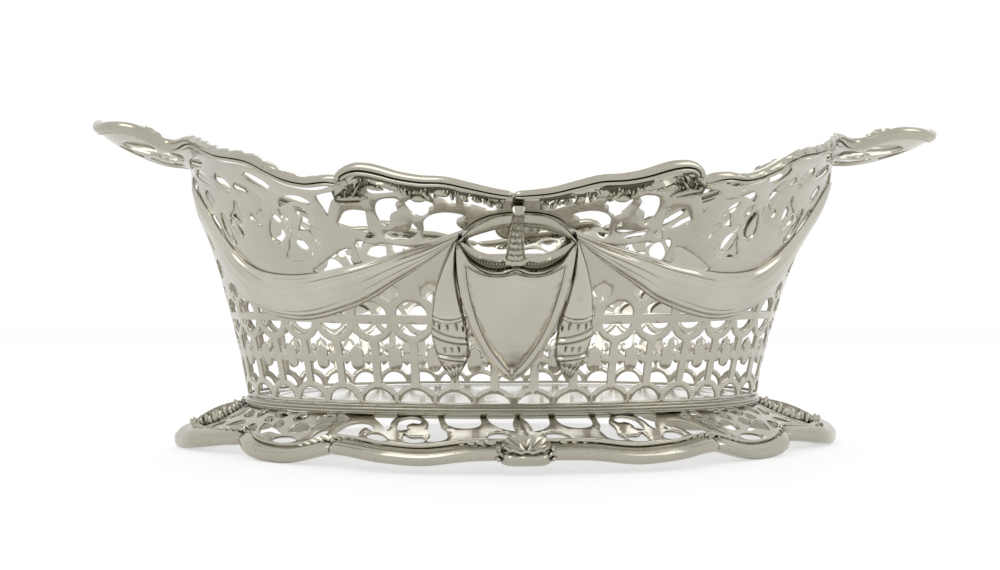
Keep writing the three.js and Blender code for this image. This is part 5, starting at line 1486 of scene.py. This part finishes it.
SWAG_LOWER = [(0, 1.22, 64.2), (0.12, 1.75, 59.6), (0.26, 2.6, 53.4), (0.4, 3.5, 47.4), (0.52, 4.6, 43.2),
              (0.62, 5.5, 42.6), (0.72, 6.4, 45.2), (0.8, 7.1, 50.2), (0.88, 7.75, 58.6), (0.95, 8.1, 69),
              (1, 8.35, 82)]
SWAG_UPPER = [(0, 1.2, 65.2), (0.12, 2, 62.2), (0.26, 3, 59.3), (0.4, 4, 56.5), (0.52, 5, 55),
              (0.62, 5.8, 55.5),
              (0.72, 6.4, 57.4), (0.8, 6.85, 61), (0.88, 7.2, 66.6), (0.95, 7.6, 75), (1, 8.25, 83.4)]
HUSK_INNER = [(0, 15.9, 63.6), (0.1, 15.8, 60), (0.22, 15.6, 55), (0.38, 14.6, 48.5), (0.52, 13.4, 43.3),
              (0.62, 12.6, 39.3), (0.73, 12, 35.2), (0.84, 12.3, 30.8), (0.91, 13.6, 28), (1, 15.6, 24.2)]
HUSK_OUTER = [(0, 16.3, 63.8), (0.1, 18.1, 60.6), (0.22, 20.1, 56), (0.38, 21.8, 50), (0.52, 22.4, 43.6),
              (0.62, 22.5, 38.6), (0.73, 21.6, 33.8), (0.84, 20, 29.8), (0.91, 18.3, 27), (1, 16, 24)]
# How full a swag and a husk are by share of their length
SWAG_FULLNESS = through([(0, 0.3), (0.1, 0.7), (0.35, 1), (0.65, 1), (0.85, 0.8), (1, 0.25)])
HUSK_FULLNESS = through([(0, 0.25), (0.08, 0.6), (0.3, 0.95), (0.6, 1), (0.85, 0.85), (1, 0.2)])


def fold(across, at, width, depth):
    """A ridge, or a groove where it is taken away, at a place across a strip."""
    return depth * np.exp(-((across - at) / width) ** 2)


# Folds of a swag and the lines of painted shade in them: place across, how much it wanders, half width,
# height or strength, and the stretch of the swag on which it is seen
SWAG_FOLDS = [
    (0.86, 0, 0.1, 0.6, "all"), (0.64, 1, 0.12, -0.55, "all"), (0.36, -1, 0.12, 0.3, "ends"),
    (0.12, 0, 0.07, -0.35, "ends"), (-0.32, 0, 0.06, -0.35, "ends"), (0.2, 2, 0.3, -0.25, "middle"),
    (-0.5, 1, 0.05, -0.28, "middle"), (-0.78, 0, 0.06, -0.3, "all")]
SWAG_LINES = [
    (0.62, 1, 0.03, 0.35, "shield end"), (0.12, 0, 0.03, 0.5, "shield end"), (-0.32, 0, 0.03, 0.5, "ends"),
    (-0.8, 0, 0.025, 0.55, "all"), (-0.5, 1, 0.02, 0.5, "middle")]
# Where a swag hangs lowest, by share of its length
BELLY_SHARE = 0.55


def folded(table, share, across, stretches):
    """The folds or lines of a table, each as strong as the stretch that it names."""
    wander = 0.05 * np.sin(7 * share) + 0.03 * np.sin(17 * share + 1)
    return sum(fold(across, at + sway * wander, width, strength) * stretches[stretch]
               for at, sway, width, strength, stretch in table)


def swag(centre, hand):
    """Drapery of sheet silver: a turned-over upper edge, a full belly, and folds that meet at its ends."""
    def lay(pitch, height, out):
        return wall(centre + hand * pitch, height, out)

    def near_belly(share, reach):
        return np.clip(1 - np.abs(share - BELLY_SHARE) / reach, 0, 1)

    def stand(share, across):
        middle = near_belly(share, 0.45)
        belly = 2.4 * np.maximum(1 - np.abs(across + 0.1) ** 2.6, 0) ** 0.6
        folds = folded(SWAG_FOLDS, share, across, {"all": 1, "middle": middle, "ends": 1 - middle})
        ragged = 0.1 * np.sin(95 * share) * np.clip(-across - 0.75, 0, 1)
        return SHEET / 2 + 0.42 + (belly + folds) * SWAG_FULLNESS(share) + ragged

    # Painted shade along the creases of the folds and the lower hem, unevenly strong
    def painted_shade(share, across):
        inner = np.clip(1 - share / 0.3, 0, 1)
        outer = np.clip((share - 0.75) / 0.2, 0, 1)
        lines = folded(SWAG_LINES, share, across, {
            "all": 1, "middle": near_belly(share, 0.2), "ends": inner + outer, "shield end": inner})
        return lines * (0.6 + 0.4 * np.sin(41 * share + 3 * across))
    return draped(SWAG_LOWER, SWAG_UPPER, (150, 61), lay, stand, painted_shade, SHEET / 2 + 0.35)


# Short upright cuts below the bands of a husk: share of its length, place across and half length; then their
# half width
HUSK_CUTS = [(0.575, 0.5, 0.022), (0.575, 0.02, 0.02), (0.58, -0.5, 0.024), (0.6, -0.85, 0.02),
             (0.73, 0.35, 0.022), (0.735, -0.05, 0.02), (0.74, -0.45, 0.026), (0.56, 0.86, 0.016)]
CUT_WIDTH = 0.055


def husk_slits(share, across):
    """The short upright cuts below each band of a husk."""
    cuts = sum(np.exp(-((share - at) / length) ** 4 - ((across - side) / CUT_WIDTH) ** 2)
               for at, side, length in HUSK_CUTS)
    return np.clip(cuts, 0, 1)


def husk_bands(share, across):
    """Heights of the bands across a husk, with a groove on each side of a band."""
    bent = share - 0.525 + 0.012 * across ** 2
    bands = fold(bent, -0.012, 0.007, 0.3) + fold(bent, 0.012, 0.007, 0.3) - fold(bent, 0, 0.005, 0.25)
    for slant, width in ((share - 0.655 + 0.045 * across, 0.011), (share - 0.8 + 0.03 * across, 0.009)):
        bands += fold(slant, 0, width, 0.5)
        bands -= fold(slant, 2.2 * width, 0.006, 0.3) + fold(slant, -2.2 * width, 0.006, 0.3)
    return bands


def husk(centre, hand):
    """A hanging husk: a plain petal, bands across it, cuts, and a crumpled point."""
    def crumple(share, across):
        tip = np.clip((share - 0.83) / 0.05, 0, 1)
        return tip * np.sin(60 * share + 7 * across) * np.cos(8 * across - 25 * share)

    def stand(share, across):
        round_face = 2.2 * np.maximum(1 - np.abs(across) ** 2.4, 0) ** 0.55
        dent = 0.35 * np.exp(-((share - 0.42) / 0.05) ** 2 - ((across + 0.1) / 0.35) ** 2)
        relief = husk_bands(share, across) - 0.5 * husk_slits(share, across) + 0.45 * crumple(share, across)
        return SHEET / 2 + 0.7 + (round_face + relief - dent) * HUSK_FULLNESS(share)

    # Painted shade in the cuts, in the grooves beside the bands and in the hollows of the crumpled point
    def painted_shade(share, across):
        grooves = np.clip(-2.4 * husk_bands(share, across), 0, 0.7)
        return 0.9 * husk_slits(share, across) + grooves + np.clip(-1.2 * crumple(share, across), 0, 0.8)
    return draped(HUSK_INNER, HUSK_OUTER, (220, 41), wall_plan(centre, hand), stand, painted_shade,
                  SHEET / 2 + 0.65)


def make_sides(tree, flute):
    for side, middle, hand in SIDES:
        centre = middle + MOUNT_SHIFT * hand
        piece("shield_" + side, shield(centre, hand), polished_silver, sharp=45)
        finished("shield_moulding_" + side, shield_moulding(centre, hand, tree, flute), cast_silver)
        piece("shield_loop_" + side, shield_loop(centre, 1), cast_silver)
        piece("shield_finial_" + side, shield_finial(centre, hand), cast_silver)
    for centre, hand, place in side_pieces(MOUNT_SHIFT):
        piece("swag_" + place, swag(centre, hand), polished_silver, sharp=60)
        piece("husk_" + place, husk(centre, hand), polished_silver, sharp=60)


# The foot

SKIRT_ACROSS = 13.5
SKIRT_DOWN = 21
SKIRT_OPENINGS = [
    [(0.06, 0.03, 1), (0.12, 0.1), (0.2, 0.25), (0.22, 0.45), (0.2, 0.6, 1), (0.35, 0.56), (0.55, 0.46),
     (0.72, 0.28), (0.79, 0.03, 1)],
    [(0.96, 0.95, 1), (0.95, 0.8), (0.83, 0.67), (0.66, 0.63), (0.5, 0.68), (0.42, 0.82), (0.44, 0.95, 1)],
    [(1.86, 0.03, 1), (0.97, 0.03, 1), (0.98, 0.22), (1.08, 0.38), (1.3, 0.46), (1.56, 0.44), (1.78, 0.33),
     (1.87, 0.15)],
    [(2.45, 0.03, 1), (2.05, 0.03, 1), (2.02, 0.2), (2, 0.35), (1.9, 0.47), (1.9, 0.6), (1.94, 0.8),
     (2.12, 0.87), (2.38, 0.84, 1), (2.38, 0.7), (2.3, 0.6), (2.35, 0.4), (2.3, 0.2)],
    [(3.05, 0.15), (2.85, 0.07), (2.6, 0.07), (2.46, 0.15, 1), (2.54, 0.23), (2.72, 0.22), (2.87, 0.3),
     (2.88, 0.42, 1), (3.05, 0.47, 1), (3.12, 0.42), (3.1, 0.25)],
    [(2.96, 0.56, 1), (2.8, 0.66), (2.5, 0.67), (2.5, 0.85), (2.86, 0.9), (2.97, 0.8)],
    [(3.75, 0.03, 1), (3.15, 0.03, 1), (3.3, 0.2), (3.36, 0.42), (3.42, 0.5, 1), (3.5, 0.3), (3.68, 0.12)],
    [(4.86, 0.96, 1), (4.75, 0.8), (4.6, 0.6), (4.42, 0.42), (4.2, 0.32), (3.95, 0.3), (3.8, 0.38),
     (3.74, 0.58, 1), (3.95, 0.46), (4.08, 0.55), (4.16, 0.75), (4.16, 0.96, 1)],
    [(3.66, 0.62), (3.46, 0.72), (3.4, 0.88), (3.6, 0.95), (3.86, 0.9), (3.86, 0.72)],
    [(4.66, 0.03, 1), (4.5, 0.16), (4.5, 0.26), (4.7, 0.3, 1), (4.78, 0.18), (4.8, 0.03, 1)],
    [(5.1, 0.03, 1), (4.92, 0.03, 1), (4.86, 0.2), (4.9, 0.29), (5.14, 0.27), (5.36, 0.2), (5.16, 0.12)],
    [(5.3, 0.34, 1), (5.06, 0.34), (4.98, 0.44), (5.12, 0.5), (5.4, 0.46)],
    [(5.05, 0.62), (4.98, 0.74), (5.1, 0.92), (5.34, 0.93), (5.3, 0.74), (5.18, 0.62)],
    [(6.06, 0.03, 1), (5.8, 0.03, 1), (5.84, 0.16), (6.04, 0.24), (6.16, 0.16)],
    [(5.7, 0.3), (5.6, 0.4), (5.72, 0.52), (5.98, 0.52), (6.02, 0.4), (5.88, 0.3)],
    [(6.88, 0.03, 1), (6.42, 0.03, 1), (6.5, 0.12), (6.72, 0.19), (6.92, 0.15)],
    [(6.5, 0.28), (6.44, 0.38), (6.56, 0.46), (6.7, 0.4), (6.66, 0.3)],
    [(7.2, 0.26, 1), (6.98, 0.22), (6.92, 0.32), (7.06, 0.38), (7.24, 0.36)],
    [(7.14, 0.48, 1), (6.94, 0.46), (6.66, 0.5), (6.3, 0.62, 1), (6.66, 0.6), (6.84, 0.68), (6.94, 0.8, 1),
     (7.1, 0.66)],
    [(6.1, 0.7), (5.86, 0.74), (5.76, 0.86), (5.96, 0.94), (6.3, 0.92), (6.4, 0.8)],
    [(7.76, 0.05, 1), (7.44, 0.05, 1), (7.5, 0.2), (7.7, 0.38, 1), (7.8, 0.2)],
    [(7.46, 0.66), (7.3, 0.74), (7.26, 0.88), (7.46, 0.94), (7.7, 0.86), (7.68, 0.72)],
    [(8.36, 0.12, 1), (8.1, 0.2), (8, 0.42, 1), (8.2, 0.4), (8.42, 0.28)],
    [(8.2, 0.56), (8.04, 0.68), (8.1, 0.86, 1), (8.36, 0.84), (8.46, 0.68)],
    [(9, 0.1, 1), (8.78, 0.14), (8.68, 0.32), (8.86, 0.46, 1), (9.04, 0.3)],
    [(8.96, 0.56), (8.76, 0.66), (8.84, 0.84), (9.08, 0.86), (9.2, 0.7)],
    [(9.56, 0.1, 1), (9.36, 0.16), (9.3, 0.36), (9.44, 0.5, 1), (9.56, 0.32)],
    [(9.52, 0.6, 1), (9.4, 0.7), (9.44, 0.86, 1), (9.6, 0.8)]]
SKIRT_SEAM = 0.003
SKIRT_STEP = 1.6
# Openings are grown by the first of these near the middle of a long side, and by the second further round
SKIRT_GROWTHS = (0.1, 0.45)
SKIRT_EDGE = 0.5


def skirt_quadrant(centre, hand):
    """A quarter of the pierced foot, from the middle of a long side to the middle of an end."""
    near, far = SKIRT_SEAM, END_PITCH - SKIRT_SEAM
    down = np.linspace(0.05, 1, 12)[1:-1]
    steps = np.linspace(near, far, 120)
    outline = [(u, 0) for u in steps] + [(far, v) for v in down] + [(u, 1) for u in steps[::-1]]
    outline = np.array(outline + [(near, v) for v in down[::-1]]) * np.array([SKIRT_ACROSS, SKIRT_DOWN])
    holes = []
    for shape in SKIRT_OPENINGS:
        hole = rounded([(p[0] * SKIRT_ACROSS, p[1] * SKIRT_DOWN, *p[2:]) for p in shape], 0.8)
        hole = grown_loop(hole, SKIRT_GROWTHS[int(hole[:, 0].mean() > 3 * SKIRT_ACROSS)])
        holes.append(np.clip(hole, outline.min(0) + SKIRT_EDGE, outline.max(0) - SKIRT_EDGE))
    points, faces = drawn([outline], holes, SKIRT_STEP)

    def lay(plan, out):
        return skirt(centre + hand * plan[:, 0] / SKIRT_ACROSS, plan[:, 1] / SKIRT_DOWN, out)
    return facing_out(*solid(points, faces, lay, SHEET / 2, -SHEET / 2, CHAMFER))


# Section of the foot border in shares of its width and height: a roll with a fine groove near its top
BORDER_SECTION = [(-0.5, 0), (0.3, 0), (0.44, 0.05), (0.52, 0.16), (0.55, 0.32), (0.55, 0.5), (0.51, 0.66),
                  (0.44, 0.77), (0.39, 0.785), (0.36, 0.84), (0.25, 0.97), (0.08, 1.08), (-0.12, 1.17),
                  (-0.36, 1.24), (-0.5, 1.2)]
# Curled leaves on a section's top: from its ends inwards, and on a long section also beside its middle
CURL_REACH = 13
CURL_SPACING = 2.6
MIDDLE_CURLS = (9, 19)
CURL_GROWTH = (1.6, 0.7)
LONG_SECTION = 60
FRONT_NOTCH = math.radians(38)
END_NOTCH = math.radians(66)
BORDER_GAP = math.radians(0.12)
BORDER_STEP = math.radians(0.9)
BORDER_CAP = math.radians(2.2)


def foot_border(start, end, tree, curl, swells=(), tall=0.0):
    """One cast section of the foot border, with rounded ends and small curled leaves on its top near them. A
    swell is an angle, how many degrees wide it is and by what share the border widens. tall is how much of
    that goes upwards."""
    angle = np.linspace(start, end, max(int(abs(end - start) / BORDER_STEP), 12))
    near = np.minimum(angle - angle[0], angle[-1] - angle) / BORDER_CAP
    cap = np.sqrt(np.maximum(1 - np.clip(1 - near, 0, 1) ** 2, 0.02)) * 0.35 + 0.65
    swell = 1 + sum(size * np.exp(-((angle - at) / math.radians(width)) ** 2) for at, width, size in swells)
    height = BORDER_HEIGHT * (1 + tall * (swell - 1))
    floor = foot_floor(angle)
    points = []
    for across, up in BORDER_SECTION:
        place = foot_plan(angle, across * BORDER_WIDTH * cap * swell)
        place[:, 2] = floor + height * (0.45 + (up - 0.45) * cap)
        points.append(place)
    shape = facing_out(np.stack(points, 1).reshape(-1, 3), tube_faces(len(angle), len(BORDER_SECTION)))
    row = foot_plan(angle, 0 * angle - 0.22 * BORDER_WIDTH)
    row[:, 2] = floor + height * 1.12
    at = lengths_along(row)
    meshes = []
    stretches = [(near, 1, min(CURL_REACH, 0.45 * at[-1])) for near in (at, at[-1] - at)]
    stretches += [(way * (at - at[-1] / 2), *MIDDLE_CURLS) for way in (-1, 1) if at[-1] > LONG_SECTION]
    for near, first, last in stretches:
        line = row[(near > first) & (near < last)]
        line = line if near[0] < near[-1] else line[::-1]
        away = np.tile([0.3, 0.0, 1.0], (len(line), 1))
        meshes.append(lumps(tree, curl, line, away, np.linspace(*CURL_GROWTH, len(line)), CURL_SPACING))
    return with_meshes(shape, meshes)


SHELL_FLUTES = 11
SHELL_SHIFT = 0.8
LOBE_HALF = 7
LOBE_BACK = 77.8
LOBE_DEPTH = 4.7
CUP_MIDDLE = -79.9
CUP_HALF = 6.3
CUP_REACH = 3.1
CUP_FLOOR = 6.6
CUP_RIM = 8.8
# Leaves beside the lobe, on its right
LOBE_LEAVES = [(5.6, 4.6, 7.6, 6.8), (6.4, 3.9, 8.4, 5.2), (6.2, 6.4, 8.2, 7.6)]


def foot_shell(hand):
    """A smooth lobe of the border with a fluted cup over it, open upwards."""
    u = np.linspace(-1, 1, 33)[:, None]
    around = np.radians(np.linspace(-90, 90, 13))[None, :]
    swell = np.sqrt(np.maximum(1 - u ** 4, 0.003))
    bottom, top = 3.9 - 1.5 * swell, 5.6 + 1.3 * swell
    deep = LOBE_DEPTH + 0.25 * np.cos(3 * math.pi * u)
    y = -(LOBE_BACK + deep * swell * np.cos(around) ** 0.8)
    z = (bottom + top) / 2 + (top - bottom) / 2 * np.sin(around)
    front = np.stack([LOBE_HALF * u + 0 * y, y, z], -1)
    lobe = slab(front, front * [1, 0, 1] - np.array([0, LOBE_BACK - 1, 0]))
    turn = np.linspace(0, 2 * math.pi, 8 * SHELL_FLUTES + 1)[None, :]
    reach = np.linspace(0.04, 1, 13)[:, None]
    flute = np.cos(SHELL_FLUTES * turn)
    radius = reach * (1 + 0.05 * flute * reach)
    rim = CUP_RIM - 1.8 * np.cos(turn) + 0.25 * flute
    cup = np.stack([CUP_HALF * radius * np.sin(turn),
                    CUP_MIDDLE - CUP_REACH * radius * np.cos(turn) - 0.3 * (1 - reach),
                    rim * reach ** 1.8 + CUP_FLOOR * (1 - reach ** 1.8)
                    + 0.3 * flute * np.sin(math.pi * reach)], -1)
    shade = (np.clip(1.15 - 1.1 * reach, 0, 1) * (0.6 - 0.4 * flute) * (reach < 0.97)).ravel()

    def lay(x, z, out):
        return np.stack([x, -(LOBE_BACK + 0.9 + out), z], -1)
    leaves = almonds(lay, [(side * a, b, side * c, d, 0.75, 1.6, 0) for side in (-1, 1)
                           for a, b, c, d in LOBE_LEAVES])
    points, faces = joined([slab(cup, cup - np.array([0, 0, 0.7])), lobe] + leaves)
    points = points * np.array([hand, hand, 1])
    points[:, 0] += SHELL_SHIFT * hand - FRAME_SHIFT
    dark = np.zeros(len(points))
    dark[:len(shade)] = shade
    return points, faces, dark


LEAF_PAIRS = 14
LEAF_SPREAD = 0.62


def foot_leaf(hand):
    """A leaf with pairs of lobes down the skirt over an end seam."""
    def lay(x, y, out):
        across = x * hand / PITCH * LEAF_SPREAD
        return skirt(hand * END_PITCH - across, y / SKIRT_DOWN, SHEET / 2 + out)
    parts = [almond(lay, (0, 0.6), (0, 20), 0.9, 3.4, base=0.5, steps=(14, 7))]
    uneven = random.Random(7)
    for i, at in enumerate(np.linspace(1, 18.5, LEAF_PAIRS)):
        size = 1 + 0.35 * math.sin(math.pi * i / 10) + uneven.uniform(-0.15, 0.15)
        for side in (-1, 1):
            reach, stand = at + uneven.uniform(1.4, 2.8), uneven.uniform(2.2, 3.4)
            bow, low_stand = side * uneven.uniform(-0.5, 0.5), uneven.uniform(1.2, 1.9)
            parts += almonds(lay, [(side * 0.1, at, side * 3.2 * size, reach, 0.85 * size, stand, bow),
                                   (side * 1.4, at + 0.6, side * 3.4 * size, at - 0.8, 0.45, low_stand, 0)],
                             base=0.4)
    # Painted shade: a little on the middle rope, more on the small lower lobes between the leaves
    dark = [np.full(len(part[0]), 0.45 if i == 0 else 0.8 * (i % 2 == 0)) for i, part in enumerate(parts)]
    return *joined(parts), np.concatenate(dark)


def base_moulding_tree():
    """Sweeps a profile round an ellipse."""
    given, add, close = node_group("profile round an ellipse", {
        "Half length": "Float", "Half width": "Float", "Steps": "Int", "Profile": "Object",
        "Finish": "Material"})
    ring = add("GeometryNodeCurvePrimitiveCircle", {"Resolution": given["Steps"], "Radius": 1.0},
               mode="RADIUS")
    size = add("ShaderNodeCombineXYZ", {"X": given["Half length"], "Y": given["Half width"], "Z": 1.0})
    oval = add("GeometryNodeTransform", {"Geometry": ring.outputs[0], "Scale": size.outputs[0]})
    level = add("GeometryNodeSetCurveNormal", {"Curve": oval.outputs[0]}, mode="Z_UP")
    section = add("GeometryNodeObjectInfo", {"Object": given["Profile"]})
    line = add("GeometryNodeMeshToCurve", {"Mesh": section.outputs["Geometry"]})
    swept_ring = add("GeometryNodeCurveToMesh", {"Curve": level.outputs[0], "Profile Curve": line.outputs[0]})
    return close(swept_ring.outputs[0])


BASE_PROFILE = [(-2, 14.3), (0.5, 14.3), (1.0, 14.6), (1.3, 15.05), (1.3, 15.4), (1.05, 15.6), (1.2, 15.75),
                (1.35, 16.05), (1.25, 16.35), (1.0, 16.45), (1.1, 16.65), (0.95, 16.85), (0.6, 16.9),
(-2, 16.9)]
BASE_STEPS = 260


def base_moulding():
    """The reeded ring between the foot and the wall."""
    count = len(BASE_PROFILE)
    profile = helper_object("base_profile", [(out, z, 0) for out, z in BASE_PROFILE], [],
                            [(i, (i + 1) % count) for i in range(count)])
    mesh = mesh_of_tree("base_ring", base_moulding_tree(), {
        "Half length": BASE_HALF_LENGTH * MM, "Half width": BASE_HALF_WIDTH * MM, "Steps": BASE_STEPS,
        "Profile": profile, "Finish": cast_silver})
    bpy.data.objects.remove(profile)
    points = np.array([v.co[:] for v in mesh.vertices]) / MM
    if points[:, 2].mean() < 0:
        points[:, 2] *= -1
    points[:, 0] -= FRAME_SHIFT
    return facing_out(points, [tuple(face.vertices) for face in mesh.polygons])


FLOOR_INSET = 2.3
FLOOR_HEIGHT = 16.9
# Section of the floor plate from its middle: share of its reach, and how far below its upper face
FLOOR_SECTION = [(0.02, 0), (0.3, 0), (0.6, 0), (0.8, 0), (0.86, 0), (0.865, 0.1), (0.87, 0), (0.9, 0),
                 (0.905, 0.1), (0.91, 0), (0.985, 0), (1, 0.15), (1, 0.85), (0.985, 1), (0.02, 1)]


def floor_plate():
    """The flat oval floor, with an edge broken by a small chamfer and two engraved lines near its rim."""
    turn = np.linspace(0, 2 * math.pi, 121)[:-1]
    length, width = BASE_HALF_LENGTH - FLOOR_INSET, BASE_HALF_WIDTH - FLOOR_INSET
    points = [(length * share * math.cos(t) - FRAME_SHIFT, width * share * math.sin(t), FLOOR_HEIGHT - down)
              for share, down in FLOOR_SECTION for t in turn]
    return facing_out(np.array(points), tube_faces(len(FLOOR_SECTION), len(turn)))


# Swells of the foot border: degrees wide and share wider, at the ends of a long section and in the middle of
# an end section, which also grows taller
NOTCH_SWELL = (5, 0.12)
END_SWELL = (14, 0.4)
END_TALL = 1.6


def make_foot(tree, curl):
    for centre, hand, place in side_pieces():
        piece("foot_skirt_" + place, skirt_quadrant(centre, hand), pierced_silver, sharp=50)
    for side, middle, hand in (("front", 0, 1), ("back", math.pi, -1)):
        ends = [middle + way * (FRONT_NOTCH - BORDER_GAP) for way in (-1, 1)]
        mesh = foot_border(*ends, tree, curl, [(end, *NOTCH_SWELL) for end in ends])
        finished("foot_border_" + side, mesh, cast_silver)
        piece("foot_shell_" + side, foot_shell(hand), cast_silver)
    for end, hand in (("left", -1), ("right", 1)):
        middle = hand * math.pi / 2
        ends = [middle + way * (math.pi / 2 - END_NOTCH - BORDER_GAP) for way in (-1, 1)]
        finished("foot_border_" + end, foot_border(*ends, tree, curl, [(middle, *END_SWELL)], END_TALL),
                 cast_silver)
        piece("foot_leaf_" + end, foot_leaf(hand), cast_silver)
    for corner, middle, hand in (("front_right", 0, 1), ("front_left", 0, -1), ("back_left", math.pi, 1),
                                 ("back_right", math.pi, -1)):
        ends = sorted(middle + hand * a for a in (FRONT_NOTCH + BORDER_GAP, END_NOTCH - BORDER_GAP))
        finished("foot_border_" + corner, foot_border(*ends, tree, curl), cast_silver)
    piece("base_moulding", base_moulding(), cast_silver, sharp=50)
    piece("floor_plate", floor_plate(), mirror_silver)


# Camera, floor and light

CAMERA_DISTANCE = 400
CAMERA_HEIGHT = 43
CAMERA_TURN = 0.065
FOCAL_PIXELS = 1200
PHOTO_WIDTH = 1000
PHOTO_HEIGHT = 570
CENTRE_PIXEL = (504, 315)
SENSOR = 36


def make_camera():
    data = bpy.data.cameras.new("camera")
    data.sensor_width = SENSOR
    data.lens = FOCAL_PIXELS / PHOTO_WIDTH * SENSOR
    data.shift_x = (PHOTO_WIDTH / 2 - CENTRE_PIXEL[0]) / PHOTO_WIDTH
    data.shift_y = (CENTRE_PIXEL[1] - PHOTO_HEIGHT / 2) / PHOTO_WIDTH
    camera = new_object("camera", data)
    way = Vector((math.sin(CAMERA_TURN), math.cos(CAMERA_TURN), 0))
    spot = -way * CAMERA_DISTANCE + Vector((-FRAME_SHIFT, 0, CAMERA_HEIGHT))
    camera.location = spot * MM
    camera.rotation_euler = way.to_track_quat("-Z", "Y").to_euler()
    bpy.context.scene.camera = camera


WORLD_LEVEL = 0.8
FLOOR_GLOW = 0.62
FLOOR_HALF = 3
FLOOR_GREY = 0.42


def seen_directly(add):
    """1 for a ray from the camera, off a polished surface or through a clear one, and 0 for any other."""
    path = add("ShaderNodeLightPath").outputs
    seen = add("ShaderNodeMath", {0: path["Is Camera Ray"], 1: path["Is Glossy Ray"]}, operation="MAXIMUM")
    return add("ShaderNodeMath", {0: seen.outputs[0], 1: path["Is Transmission Ray"]},
               operation="MAXIMUM").outputs[0]


def make_floor():
    corners = [(x * FLOOR_HALF, y * FLOOR_HALF, 0) for x, y in ((-1, -1), (1, -1), (1, 1), (-1, 1))]
    mesh = new_mesh("floor", corners, [range(4)])
    material = bpy.data.materials.new("white table")
    material.use_nodes = True
    material.node_tree.nodes.clear()
    add = adder(material.node_tree)
    glow = add("ShaderNodeMath", {0: seen_directly(add), 1: FLOOR_GLOW}, operation="MULTIPLY")
    shader = add("ShaderNodeBsdfPrincipled", {
        "Base Color": (FLOOR_GREY, FLOOR_GREY, FLOOR_GREY, 1), "Roughness": 0.9, "Specular IOR Level": 0.1,
        "Emission Color": (1, 1, 1, 1), "Emission Strength": glow.outputs[0]})
    add("ShaderNodeOutputMaterial", {"Surface": shader.outputs[0]})
    mesh.materials.append(material)
    new_object("floor", mesh)


def make_world():
    world = bpy.data.worlds.new("studio")
    bpy.context.scene.world = world
    world.use_nodes = True
    world.node_tree.nodes.clear()
    add = adder(world.node_tree)
    strength = add("ShaderNodeMapRange", {"Value": seen_directly(add), "To Min": WORLD_LEVEL, "To Max": 1})
    background = add("ShaderNodeBackground", {"Color": (1, 1, 1, 1), "Strength": strength.outputs[0]})
    add("ShaderNodeOutputWorld", {"Surface": background.outputs[0]})


# Lamps: name, place in metres, size and power
LAMPS = [("key", (-0.5, -0.55, 0.75), 0.55, 1.8), ("fill", (0.75, -0.35, 0.6), 0.45, 1.0),
         ("back", (0.1, 0.8, 0.7), 0.6, 1.5)]
LAMP_AIM = (0, 0, 0.05)


def make_lamps():
    for name, place, size, power in LAMPS:
        data = bpy.data.lights.new(name, "AREA")
        data.size = size
        data.energy = power
        lamp = new_object(name, data)
        lamp.location = place
        lamp.rotation_euler = (Vector(LAMP_AIM) - Vector(place)).to_track_quat("-Z", "Y").to_euler()


def make_basket():
    tree = lumps_tree()
    flute, leaf, curl = lump_objects()
    make_walls()
    make_rim(tree, leaf)
    make_sides(tree, flute)
    make_foot(tree, curl)
    for helper in (flute, leaf, curl):
        bpy.data.objects.remove(helper)


make_basket()
make_camera()
make_world()
make_lamps()
make_floor()
bpy.context.scene.view_settings.view_transform = "Standard"
